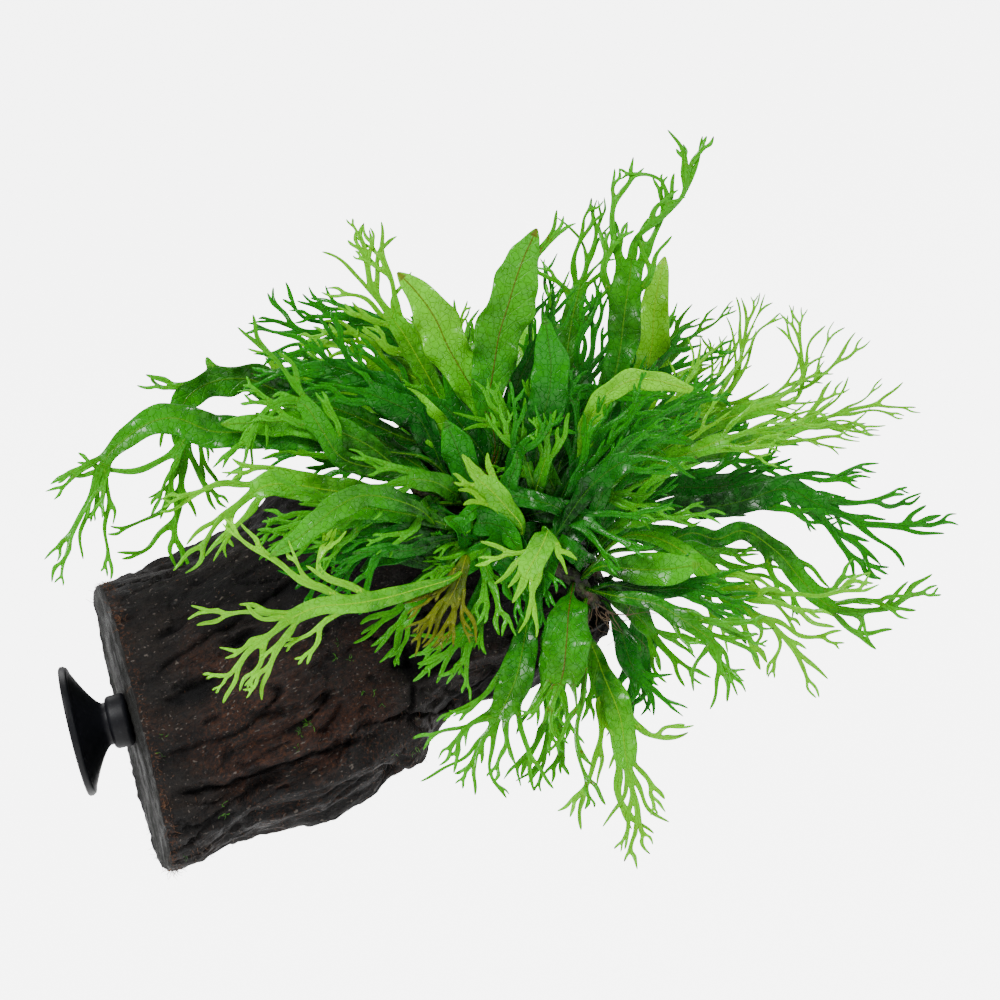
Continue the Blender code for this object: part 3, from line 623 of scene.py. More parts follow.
def onWood(share, angle):
    # A place on the carved wood with the way out of it
    place = woodPoint(share, angle)[0]
    onward = woodPoint(min(share + 0.004, 1), angle)[0] - place
    around = woodPoint(share, angle + 0.02)[0] - place
    out = onward.cross(around).normalized()
    middle = (along(woodTop, share) + along(woodBottom, share)) / 2
    if out.dot(place - Vector((middle.x, middle.y, 0))) < 0:
        out = -out
    return place, out


def addThread(bm, points, radius, sides=5, steps=4):
    # A thin tube through the points, thinner to its end and closed
    curve = smoothRoute(points, steps)[0]
    rings = []
    for i, spot in enumerate(curve):
        ahead = (curve[min(i + 1, len(curve) - 1)] - curve[max(i - 1, 0)]).normalized()
        side = ahead.cross(Vector((0.3, 0.2, 1))).normalized()
        girth = radius * (1 - 0.7 * i / len(curve))
        rings.append(ringOf(bm, spot, side, side.cross(ahead), [girth] * sides))
    bridgeRings(bm, rings)
    bm.faces.new(rings[0])
    bm.faces.new(rings[-1][::-1])


def addWisp(bm, place, out, size, radius, dice):
    way = (out * 0.35 + drawn(dice, *[(-1, 1)] * 3) * 0.8).normalized()
    if way.dot(out) < 0.12:
        way += out * (0.15 - way.dot(out))
    middle = place + way * size * 0.5 + drawn(dice, *[(-1, 1)] * 3) * size * 0.25
    addThread(bm, [place - out * 0.25, middle, place + way * size], radius, 3, 2)


def addFuzz():
    dice = random.Random(fuzz["seed"])
    bm = bmesh.new()
    for n in range(fuzz["rim"] + fuzz["loose"]):
        rim = n < fuzz["rim"]
        share = dice.uniform(0.001, 0.022) if rim else dice.uniform(0.03, 0.75)
        angle = dice.uniform(0, 2 * pi) if rim or n % 3 == 0 else dice.uniform(0.75, 1.6) * pi
        place, out = onWood(share, angle)
        size = dice.uniform(*fuzz["length"]) * (1 if rim else 0.6)
        addWisp(bm, place, out, size, fuzz["radius"], dice)
    rust = fuzzMaterial("rustyFuzz", (0.016, 0.007, 0.004), (0.150, 0.062, 0.022), 0.75)
    meshPiece(bm, "woodFuzz", rust)

    spots = [onWood(dice.uniform(0.02, 0.8), dice.uniform(0.72, 1.75) * pi)
             for n in range(fuzz["tries"])]
    bm = bmesh.new()
    for u, v in fuzz["moss"]:
        near = sorted(spots, key=lambda s: hypot(s[0].x - u, s[0].y - v))[:3]
        for n in range(fuzz["mossCount"]):
            place, out = dice.choice(near)
            addWisp(bm, place, out, dice.uniform(*fuzz["mossLength"]), fuzz["mossRadius"], dice)
    moss = fuzzMaterial("mossGreen", (0.010, 0.060, 0.001), (0.050, 0.230, 0.004), 0.6)
    meshPiece(bm, "mossFlecks", moss)


addFuzz()
print("fibres and moss placed")


# Suction cup: it is spun from half its outline, and its lip lies on the glass
cup = {
    "radius": 16.6, "lipWidth": 2.2, "lipThickness": 1.5, "lipRounding": 0.35,
    "hollowDepth": 6.5,
    "neckRadius": 5.4, "neckAt": 8.4,
    "collarRadius": 6.75, "collarStart": 9.2, "collarEnd": 14.6, "collarRounding": 1.3,
    "bandWidth": 1.2, "bandProud": 0.18,  # the thin raised band round the lip
    "pole": 0.05,                         # how far the hollow's middle stays off the glass
    "steps": 96, "roundSteps": 6, "flareSteps": 24, "hollowSteps": 20,
}


def rubberMaterial():
    mat, tree, shader = newMaterial("blackRubber", (0.01, 0.011, 0.014))
    spot = objectPlace(tree)
    dust = spread(tree, addNoise(tree, spot, 900, 3, 0.6), 0.58, 0.78, 0.0, 0.5)
    haze = spread(tree, addNoise(tree, spot, 70, 3, 0.5), 0.35, 0.7)
    colour = mixColour(tree, haze, (0.0020, 0.0022, 0.0032), (0.0045, 0.0048, 0.0068))
    feed(shader, {"Base Color": mixColour(tree, dust, colour, (0.030, 0.032, 0.038)),
                  "Roughness": spread(tree, haze, 0, 1, 0.34, 0.50), "Specular IOR Level": 0.22})
    addBump(tree, shader, addNoise(tree, spot, 2600, 2, 0.5), 0.00006, 0.6)
    return mat


def cupProfile():
    # Radius and height above the glass, from the collar's end over the lip into the hollow
    c, r = cup, cup["collarRounding"]
    points = [(0, c["collarEnd"])]
    quarter = [pi / 2 * k / c["roundSteps"] for k in range(c["roundSteps"] + 1)]
    top, bottom, off = c["collarEnd"] - r, c["collarStart"] + r, c["collarRadius"] - r
    points += [(off + r * sin(t), top + r * cos(t)) for t in quarter]
    points += [(off + r * cos(t), bottom - r * sin(t)) for t in quarter]
    points.append((c["neckRadius"], c["neckAt"]))
    for k in range(1, c["flareSteps"] + 1):
        share = k / c["flareSteps"]
        radius = c["neckRadius"] + (c["radius"] - c["neckRadius"]) * share
        rise = c["neckAt"] - (c["neckAt"] - c["lipThickness"]) * share ** 0.72
        band = c["bandProud"] if radius > c["radius"] - c["bandWidth"] else 0
        points.append((radius - (c["lipRounding"] if share == 1 else 0), rise + band))
    inner = c["radius"] - c["lipWidth"]
    points += [(c["radius"], c["lipThickness"] - c["lipRounding"]), (c["radius"], c["lipRounding"]),
               (c["radius"] - c["lipRounding"], 0), (inner + 0.2, 0)]
    for k in range(c["hollowSteps"] + 1):
        share = k / c["hollowSteps"]
        rise = max(c["hollowDepth"] * sin(share * pi / 2) ** 1.3, c["pole"])
        points.append((inner * (1 - share), rise))
    return points


def addCup():
    points = cupProfile()
    bpy.ops.object.select_all(action="DESELECT")
    bpy.ops.mesh.primitive_plane_add(size=1)
    piece = bpy.context.object
    piece.name = piece.data.name = "cupMoulded"
    piece.data.clear_geometry()
    edges = [(i, i + 1) for i in range(len(points) - 1)]
    piece.data.from_pydata([(z * mm, r * mm, 0) for r, z in points], edges, [])
    bpy.ops.object.mode_set(mode="EDIT")
    bpy.ops.mesh.select_all(action="SELECT")
    bpy.ops.mesh.spin(steps=cup["steps"], angle=2 * pi, center=(0, 0, 0), axis=(1, 0, 0))
    bpy.ops.mesh.select_all(action="SELECT")
    bpy.ops.mesh.remove_doubles(threshold=0.00001)
    bpy.ops.mesh.normals_make_consistent(inside=False)
    bpy.ops.object.mode_set(mode="OBJECT")
    bpy.ops.object.shade_smooth_by_angle(angle=radians(40))
    finishPiece(piece, rubberMaterial(), "suction_cup")


addCup()
print("cup turned")


# The fern's creeping stems, and then its leaves
stems = {
    "rhizome_top": [(84, 60.6, -8), (95, 58.2, -7), (104, 55.8, -4), (112, 53.6, 1),
                    (119, 50.8, 6.4), (126, 44, 9.8), (131, 37.5, 11)],
    "rhizome_front": [(86, 46.5, -20.6), (93, 45, -19.9), (101, 45.5, -18.9), (110, 45, -17.1),
                      (118, 42.5, -15.9), (125, 37.5, -15), (130, 31.5, -11.6)],
}
stem = {"radius": 2.25, "around": 20, "spacing": 0.55, "scaleLength": 3.4, "scaleHeight": 0.35,
        "pole": 0.8}

# The leaves lie in pages, from -9 in front to 8 at the back, that part with distance from the heart
pages = {"heart": (113, 54), "depth": -1.0, "gap": 2.2, "spread": 5.0, "reach": 60}

blade = {
    "rowStep": 2.3,          # between rows along the leaf
    "lanes": (4, 6), "broad": 8.2,       # faces across it, and across a leaf wider than this
    "stalkWidth": 1.25, "stalkShare": 0.2, "tipWidth": 1.6, "bluntTip": 0.5,
    "lamina": 0.34, "stalkThickness": 1.15,
    "fold": 0.16,             # how far the halves fold up from the midrib
    "wave": 0.20, "waveLength": 10.0,    # the margin's waves, as a share of the width
    "uneven": 0.26, "nick": 0.20,        # how unevenly wide it is, slowly and quickly
    "unevenLength": 9, "nickLength": 4.2,
    "handOver": 0.64,         # where a lacy blade gives way to its lobes
    "lobe": (8.0, 19.0),      # length of the lobes along it
    "lobeEvery": 15.0, "lobesFrom": 0.50,
    "mapWidth": 20,           # millimetres that the leaf map's unit stands for
}
# The straps of the lace by order: those from the blade, those from them, and so on. sway is how
# far a strap strays from its path, in widths, and every is the distance between its own lobes.
# side and tip are the shortest and longest of these and of its prongs. forked is how often it
# ends in prongs, and fork the degrees at which they part.
straps = {
    1: {"width": 1.9, "step": 2.8, "sway": 0.2, "every": 13.0, "side": (4.0, 15),
        "tip": (4.0, 10), "forked": 1.0, "fork": 15},
    2: {"width": 1.25, "step": 2.2, "sway": 0.5, "every": 20.0, "side": (2.5, 6.0),
        "tip": (2.4, 5.5), "forked": 0.60, "fork": 20},
    3: {"width": 0.9, "step": 1.6, "sway": 0.5, "every": 30.0, "side": (1.2, 2.2),
        "tip": (1.2, 2.4), "forked": 0.15, "fork": 27},
    4: {"width": 0.65, "step": 1.3, "sway": 0.3},
}
lace = {
    "lean": 24, "leanSpan": (0.6, 1.6),      # degrees at which a side lobe leaves, and its shares
    "forkSpan": (0.6, 1.4),  # shares of its degrees at which a prong leaves
    "back": 0.60,            # how far they turn back along their strap
    "bend": 24,              # degrees that their tips turn further to either side
    "ribScale": 2.3,         # how much finer a strap's midrib is than a blade's
    "twist": 35,             # degrees that a strap turns about its own line at most
    "short": 0.6, "shortMost": 0.45,         # how far a forked strap ends before its path does
    "root": 1.10, "loss": 0.38, "foot": 0.35,    # shares of its width: at first, lost, and flared
    "lumps": 0.16,           # how unevenly wide it is
    "end": 0.38,             # width at a tip, as a share of the strap's
    "crotch": 0.12,          # how far the middle stands out where prongs part, in widths
    # The two straps beside a blade's end: degrees, and shares of what is left, up to a length
    "beside": (14, 34), "besideShare": (0.45, 1.0), "besideMost": 22,
}

# What a leaf does if its own line says nothing else
leafHabit = {
    "root": None,            # u and v on the rhizome, or the place on it nearest to the leaf
    "slot": None,            # the name of its material slot, or its tone's own; it is worked out but not given to the piece
    "blunt": False,          # a plain blade without lobes
    "plain": 0,              # how much later the lobes along the blade begin
    "entire": 1,             # how much further the blade reaches before it gives way to lobes
    "fan": 1,                # length of the two lobes beside its end
    "fine": 1.0,             # width of its straps
    "dry": 0.12,             # share of brown tips
    "calm": 1.0,             # how often its straps fork and branch
}
leaves = {}


def leafOf(page, wide, tone, twist, route, lobes=(), **habit):
    return dict(leafHabit, page=page, wide=wide, tone=tone, twist=twist, route=route, lobes=lobes,
                **habit)


def addLeaves(group, *rows):
    leaves.update({"leaf_%s_%d" % (group, n): leaf for n, leaf in enumerate(rows, 1)})


# Each leaf: its page, greatest width, tone, the degrees that it is turned by at its root and its
# tip, and its route from the rhizome to its tip. Then its lobes: each has its place along the leaf
# from 0 to 1, its tip, and some a point on the way where it bends.
addLeaves("top",   # upright
    leafOf(-3, 11.5, "brightBrown", (10, 5), [(105.5, 70.5), (102.5, 80), (97.5, 88), (93, 96),
           (89, 104.5), (84, 111), (80, 115)], blunt=True),
    leafOf(-4, 13.5, "midBrown", (0, -12), [(104.5, 70), (103, 81), (104, 90), (105.5, 99),
           (108, 108), (111, 117), (115, 126)], [(0.93, 119.5, 124.5)], blunt=True),
    leafOf(0, 5.5, "bright", (30, -20), [(98, 68), (91, 83), (82, 99), (76, 107), (73, 114),
           (72, 126)], [(0.70, 63.5, 111), (0.70, 84, 115), (0.82, 61, 120), (0.82, 79, 124),
           (0.91, 68, 124)]),
    leafOf(3, 5.5, "mid", (-40, 20), [(121, 70), (121.5, 83), (123, 98), (125.5, 110), (129, 121),
           (130.5, 132.5)], [(0.70, 115, 116, 120, 113), (0.78, 134, 120), (0.86, 119.5, 128.5),
           (0.86, 134, 128)], fine=0.7, dry=0.5),
    leafOf(1, 8.5, "mid", (0, 25), [(128, 70), (131, 78), (135, 91), (136.5, 101.5), (138.5, 115),
           (139.5, 123), (143, 128), (148, 129.5), (152, 134), (153, 147)],
           [(0.87, 137, 138.5, 146, 139), (0.94, 148, 151), (0.94, 157, 149)], root=(116, 52.5)),
    leafOf(4, 9, "pale", (-35, 10), [(131, 72), (137, 81), (143, 93), (144.5, 107), (147, 119)],
           blunt=True),
    leafOf(-5, 6.5, "pale", (0, -30), [(126, 66), (128, 77), (133, 85), (142, 88.5), (155.5, 85)],
           blunt=True),
    leafOf(-1, 9, "deep", (35, -20), [(112.5, 68), (114, 78), (113.5, 90), (116, 102)],
           [(0.82, 110, 99), (0.82, 121, 102)]),
    leafOf(2, 6.5, "deep", (-30, 40), [(119, 68), (123.5, 80), (128, 93), (131, 107)],
           [(0.72, 124.5, 104), (0.72, 136, 101), (0.88, 128.5, 110)], root=(113, 53.5)),
    leafOf(-6, 10, "deep", (-35, 20), [(114, 64), (116, 76), (118.5, 88), (118, 97), (117, 104)],
           blunt=True))
addLeaves("left",   # arching to the left
    leafOf(-2, 8.5, "mid", (10, 35), [(98, 68), (81, 74), (66, 80.5), (50, 85.5), (42, 88.5),
           (33, 87.5), (27, 83), (25.5, 76), (27, 69), (26, 60), (24.5, 51), (25.5, 42)],
           [(0.60, 32.5, 94), (0.66, 20.5, 88), (0.78, 20.5, 58), (0.89, 8, 50.5, 17, 52.5),
           (0.95, 11, 44, 17, 46)], slot="deep", entire=1.12, plain=20, fan=0.7),
    leafOf(-4, 8.5, "mid", (0, -20), [(88, 68), (78, 70), (61, 73), (46, 75), (34, 75), (25, 78.5),
           (17.5, 77), (9.5, 71), (5, 64.5), (2, 55.5), (-2, 49), (-6.5, 44)],
           [(0.60, -1, 65.5, 18, 66), (0.80, 7, 40, 7.5, 53), (0.91, 1, 43)], root=(98, 57),
           slot="bright", entire=1.18, plain=30, fan=0.6),
    leafOf(-5, 5.5, "mid", (0, 20), [(88, 64), (81, 65), (67, 68), (61, 76), (57, 82), (51, 83.5),
           (46.5, 79), (43, 74), (40, 67)], [(0.80, 47, 71), (0.92, 36.5, 68), (0.92, 43.5, 65)],
           root=(100, 57)),
    leafOf(-6, 8, "bright", (0, -15), [(86, 57), (78, 58), (66, 60), (50, 62), (42, 58.5), (37, 54),
           (32, 48), (28, 41)], [(0.60, 38, 66), (0.84, 27, 47), (0.84, 38, 45)], root=(98, 57),
           slot="pale", entire=1.15, plain=20),
    leafOf(3, 8.5, "deep", (-25, 35), [(98, 68), (94.5, 76), (90, 86), (83, 93), (77.5, 100),
           (70, 102), (62, 99.5), (55, 101), (48.5, 106)], [(0.70, 61, 109), (0.82, 52, 110),
           (0.82, 46.5, 93, 53, 96), (0.90, 42, 101)]),
    leafOf(1, 8, "bright", (-35, 25), [(101, 70), (93, 81), (84, 89), (75, 92), (67, 96.5),
           (57, 97)], [(0.72, 69, 86), (0.84, 63, 103), (0.84, 59, 91)], slot="mid"),
    leafOf(-1, 8, "deep", (25, -35), [(97, 68), (89, 75), (83, 80), (77, 83.5), (71, 86), (63, 91),
           (53, 94)], [(0.80, 59, 98), (0.80, 59, 86), (0.92, 49, 90)]),
    leafOf(5, 5.5, "bright", (35, 10), [(98, 69), (81, 79), (66, 85), (45.5, 91)],
           [(0.74, 53, 95.5), (0.74, 54, 83), (0.89, 45, 96)]),
    leafOf(-3, 8.5, "bright", (0, 15), [(98, 67), (93, 72), (88, 77.5), (84, 82), (79, 86.5)],
           blunt=True),
    leafOf(-7, 9, "deep", (-10, 20), [(98.5, 55), (98, 62), (95.5, 70), (92, 78)], blunt=True))
addLeaves("front",   # in front of the wood and of the fern's heart
    leafOf(-9, 5, "pale", (0, 0), [(95, 39), (86, 36), (77, 33.5), (68, 32), (59, 31), (50, 26),
           (43, 20), (36, 11)], [(0.48, 64, 51, 60, 41), (0.56, 41, 50, 53, 40), (0.56, 58, 21),
           (0.72, 42, 32), (0.84, 36.5, 20)], root=(99, 45.5), slot="bright"),
    leafOf(-7, 6, "deep", (0, 15), [(90, 41), (82, 44), (73, 48), (63, 42), (56, 35)],
           [(0.62, 62, 50), (0.62, 67, 36), (0.84, 52, 41)], root=(92, 45)),
    leafOf(-6, 6, "mid", (0, -15), [(94, 41), (88, 38), (81, 31.5), (73, 27)], [(0.62, 73, 34),
           (0.62, 80, 21), (0.84, 69, 22)]),
    leafOf(-8, 5.5, "mid", (10, -10), [(82, 54), (77, 55), (71, 54.5), (58, 51), (47, 46.5)],
           [(0.60, 62, 58), (0.66, 64, 46), (0.84, 49, 54)], root=(86, 47)),
    leafOf(-7, 5.5, "mid", (20, -20), [(102, 40), (100, 31), (95, 22), (87, 17)], [(0.66, 96, 12),
           (0.66, 85, 23), (0.84, 90, 12)]),
    leafOf(-9.6, 6.5, "pale", (0, 0), [(118, 51), (116, 46), (112, 39), (109, 32)],
           [(0.36, 101.5, 45), (0.42, 123, 44), (0.72, 114, 27), (0.72, 104, 37)], slot="bright",
           entire=1.1, plain=30, calm=0.4),
    leafOf(-9.2, 6, "pale", (0, 0), [(111.5, 51), (107.5, 56), (104, 60), (99.5, 64), (96, 69.5)],
           [(0.55, 99, 57.5), (0.72, 94, 64.5), (0.72, 103, 70)], slot="bright", entire=1.1,
           plain=30, calm=0.4),
    leafOf(-7, 11, "deep", (10, -10), [(121.5, 46.5), (123.5, 51), (127, 59)], blunt=True))
addLeaves("right",   # reaching to the right
    leafOf(3, 5, "bright", (-45, -10), [(131, 62), (146, 74), (158, 81), (164, 86), (166.5, 96),
           (168, 109)], [(0.78, 162, 104), (0.78, 177, 104.5, 171, 101), (0.89, 164.5, 109),
           (0.89, 173, 108)], root=(121, 49.5), slot="mid", plain=16, fine=0.62, dry=0.6),
    leafOf(5, 4.5, "bright", (40, 15), [(131, 66), (146, 77), (157, 84), (161, 90), (161, 97)],
           [(0.72, 154, 93), (0.72, 167, 92), (0.88, 157, 99), (0.88, 165, 98)], root=(128, 44),
           slot="mid", plain=16, fine=0.62, dry=0.6),
    leafOf(0, 5, "bright", (-30, 20), [(129.5, 66), (141, 77), (150, 84), (154, 89.5), (157.5, 98)],
           [(0.74, 148.5, 93), (0.74, 161.5, 91), (0.89, 153, 99)], root=(113, 54), slot="mid",
           plain=16, fine=0.62, dry=0.5),
    leafOf(2, 4.5, "bright", (35, -25), [(137, 64), (156, 76), (174, 81.5), (181, 83.5),
           (182.5, 88), (180.5, 93), (180.5, 99), (182.5, 105)], [(0.50, 189, 99, 188, 89),
           (0.88, 177, 102), (0.88, 187, 102)], root=(118, 51.5), slot="mid", plain=20, fine=0.65,
           dry=0.6),
    leafOf(1, 4.5, "bright", (-40, 20), [(136, 60), (156, 69), (176, 75), (188, 79), (196, 81),
           (206, 84)], [(0.64, 190, 71), (0.76, 193, 89), (0.76, 200, 75.5), (0.88, 201, 88),
           (0.88, 207, 79)], root=(120, 50), slot="mid", plain=16, fine=0.65, dry=0.6),
    leafOf(0, 5.5, "deep", (45, 0), [(137, 58), (149, 61), (158.5, 61), (167, 63), (176.5, 70)],
           [(0.58, 166, 72), (0.74, 178, 62)], root=(115, 53)),
    leafOf(-2, 7, "deep", (35, -15), [(134, 53.5), (149, 56), (161, 56.5), (169, 58.5), (177, 61),
           (185, 57), (192, 54), (200, 51.5), (209, 52), (217, 54.5)], [(0.60, 184, 65.5, 190, 63),
           (0.68, 198, 38.5, 196, 46), (0.80, 207, 41), (0.88, 217, 49)]),
    leafOf(-3, 5.5, "mid", (-25, 25), [(133, 45), (144, 46), (153.5, 50), (160, 48), (167, 50.5),
           (175.5, 44.5), (181.5, 37.5), (189, 31), (201, 30.5), (213, 38)], [(0.70, 192, 37),
           (0.82, 197, 24.5), (0.90, 210, 31)]),
    leafOf(-6, 9, "mid", (10, 0), [(131, 41.5), (136, 41), (145, 40.5), (156, 42)], blunt=True),
    leafOf(-5, 5, "deep", (-20, 40), [(134, 37), (142, 35.5), (152.5, 36), (160, 34), (168, 34)],
           [(0.68, 165, 40), (0.68, 163, 27.5)]),
    leafOf(-4, 5, "bright", (25, -25), [(135, 48), (143, 49), (151, 45.5), (156, 41), (162, 35),
           (169, 29.5), (176, 25), (180, 20), (182, 13)], [(0.62, 197, 38, 185, 34),
           (0.74, 168, 20), (0.80, 190, 23), (0.86, 173, 14.5)]),
    leafOf(-7, 4.5, "mid", (30, -10), [(134, 34), (141, 33), (147, 31), (153, 27), (159.5, 22),
           (161, 16), (161, 9)], [(0.58, 167, 27), (0.74, 154, 10, 155, 18), (0.84, 166, 11)]),
    leafOf(-1, 7.5, "deep", (-35, 25), [(125, 67.5), (134, 72), (143, 78.5), (152, 83.5),
           (159, 88)], [(0.78, 150, 89), (0.78, 163, 83)], root=(110, 55.5)),
    leafOf(-2, 5, "bright", (-20, 40), [(124, 65), (138, 65), (151, 69), (163, 73.5), (178, 77),
           (187, 77)], [(0.56, 160, 81), (0.66, 173, 69), (0.82, 184, 83), (0.82, 186, 71)],
           root=(107, 56.5), slot="mid", plain=16, fine=0.7, dry=0.4))
addLeaves("low",   # hanging below
    leafOf(-7.6, 12.5, "midBrown", (0, 15), [(123, 31), (122.5, 25), (122, 19), (121, 13), (119, 7),
           (116.5, 1)], [(0.62, 132, -16.5, 125, -6), (0.74, 111, 3)], entire=1.1, plain=12),
    leafOf(-6, 8.5, "mid", (15, -25), [(114, 34), (112, 24), (110, 14), (106, 5), (101, -3),
           (97, -13)], [(0.52, 94, 4, 101, 8), (0.62, 116, -12.5, 112, -3), (0.74, 86, -3, 94, 1),
           (0.80, 107, -17), (0.86, 85.5, -12)]),
    leafOf(-5, 7.5, "bright", (-15, 25), [(126, 28), (129.5, 20), (132.5, 12), (136, 3), (137, -5),
           (139, -14), (141, -29)], [(0.40, 124, -20.5, 130.5, -4), (0.56, 147, 4.5, 145, -2),
           (0.76, 131, -23.5), (0.76, 148, -23), (0.88, 135, -29)]),
    leafOf(-3, 6, "deep", (20, -40), [(132, 33), (136, 25), (139, 16), (145, 8)], [(0.74, 138, 6),
           (0.74, 149, 15)]),
    leafOf(3, 7.5, "deep", (40, -10), [(137, 40), (141, 28), (140, 15), (135, 3)], [(0.72, 144, 5),
           (0.72, 131, 11), (0.88, 139, 0)]))
addLeaves("back",   # on the far side
    leafOf(7, 9.5, "mid", (30, -40), [(108, 68), (98, 84), (86, 94), (74, 99)], [(0.78, 79, 104),
           (0.78, 77, 91)]),
    leafOf(8, 9.5, "bright", (-10, 30), [(115, 68), (112, 88), (110, 104), (108, 116)], blunt=True),
    leafOf(6, 8.5, "mid", (45, -10), [(124, 64), (136, 84), (144, 96), (150, 106)],
           [(0.78, 141, 108), (0.78, 155, 97)]),
    leafOf(7, 6.5, "deep", (-30, 45), [(131, 60), (146, 68), (162, 72), (176, 74)],
           [(0.70, 165, 80), (0.70, 170, 65), (0.86, 177, 80)]),
    leafOf(6, 7.5, "mid", (40, -30), [(135, 50), (148, 48), (162, 42), (174, 36)], [(0.70, 170, 46),
           (0.70, 160, 34), (0.86, 176, 42)]),
    leafOf(7, 8.5, "deep", (-40, 30), [(102, 66), (84, 72), (66, 72), (48, 68)], [(0.72, 55, 76),
           (0.72, 56, 62), (0.86, 46, 74)]),
    leafOf(8, 7, "mid", (20, 35), [(108, 54), (96, 50), (82, 43), (70, 34)], [(0.74, 70, 45),
           (0.74, 78, 30)]))


def placeOf(page, u, v, off=0):
    # A place on a page of the fern
    reach = hypot(u - pages["heart"][0], v - pages["heart"][1])
    gap = pages["gap"] + pages["spread"] * (1 - exp(-reach / pages["reach"]))
    return Vector((u, v, pages["depth"] + page * gap + off))


def acrossWay(ahead, twist):
    # The way across the blade, turned by twist about the leaf's own line
    side = Vector((-ahead.y, ahead.x, 0)).normalized()
    return side * cos(twist) + Vector((0, 0, 1)) * sin(twist)


def turned(way, degrees):
    a = radians(degrees)
    return Vector((way.x * cos(a) - way.y * sin(a), way.x * sin(a) + way.y * cos(a), way.z))


def bladeWidth(share, wide, blunt):
    stalk, tip = blade["stalkWidth"], blade["tipWidth"]
    if share < blade["stalkShare"]:
        return stalk
    x = (share - blade["stalkShare"]) / (1 - blade["stalkShare"])
    if blunt:
        return stalk + (wide - stalk) * sin(pi * min(x, 1) ** 1.3) ** 0.8
    swell = sin(pi * min(x / 0.8, 1)) ** 0.8
    return tip + (wide - tip) * swell * (1 if x < 0.8 else 0)


def newSheet():
    bm = bmesh.new()
    return {"bm": bm, "uv": bm.loops.layers.uv.new("leafMap"),
            "reach": bm.verts.layers.float.new("reach"), "thick": bm.verts.layers.deform.verify()}


def addPoint(sheet, spot, reach, thick=0.0):
    vert = sheet["bm"].verts.new(spot)
    vert[sheet["reach"]] = reach
    vert[sheet["thick"]][0] = thick
    return vert


def addPatch(sheet, corners):
    # Each corner is a vertex, its millimetres from the midrib and its millimetres along
    face = sheet["bm"].faces.new([c[0] for c in corners])
    for loop, (vert, off, far) in zip(face.loops, corners):
        loop[sheet["uv"]].uv = (0.5 + off / blade["mapWidth"], far / blade["mapWidth"])


def spreadOver(verts, far, rib, aside):
    # The vertices of a base with their places on the leaf map
    places = [0.0]
    for a, b in zip(verts, verts[1:]):
        places.append(places[-1] + (b.co - a.co).length)
    return [(v, (p - places[-1] / 2) * rib + aside, far) for v, p in zip(verts, places)]


def rowFor(share, count):
    return held(round(share * count + 0.5), 1, count - 1)


def takeRow(taken, k, left):
    # The first row from k back that has no lobe on this side yet, or 0
    while (k, left) in taken:
        k -= 1
    if k > 0:
        taken.add((k, left))
    return max(k, 0)


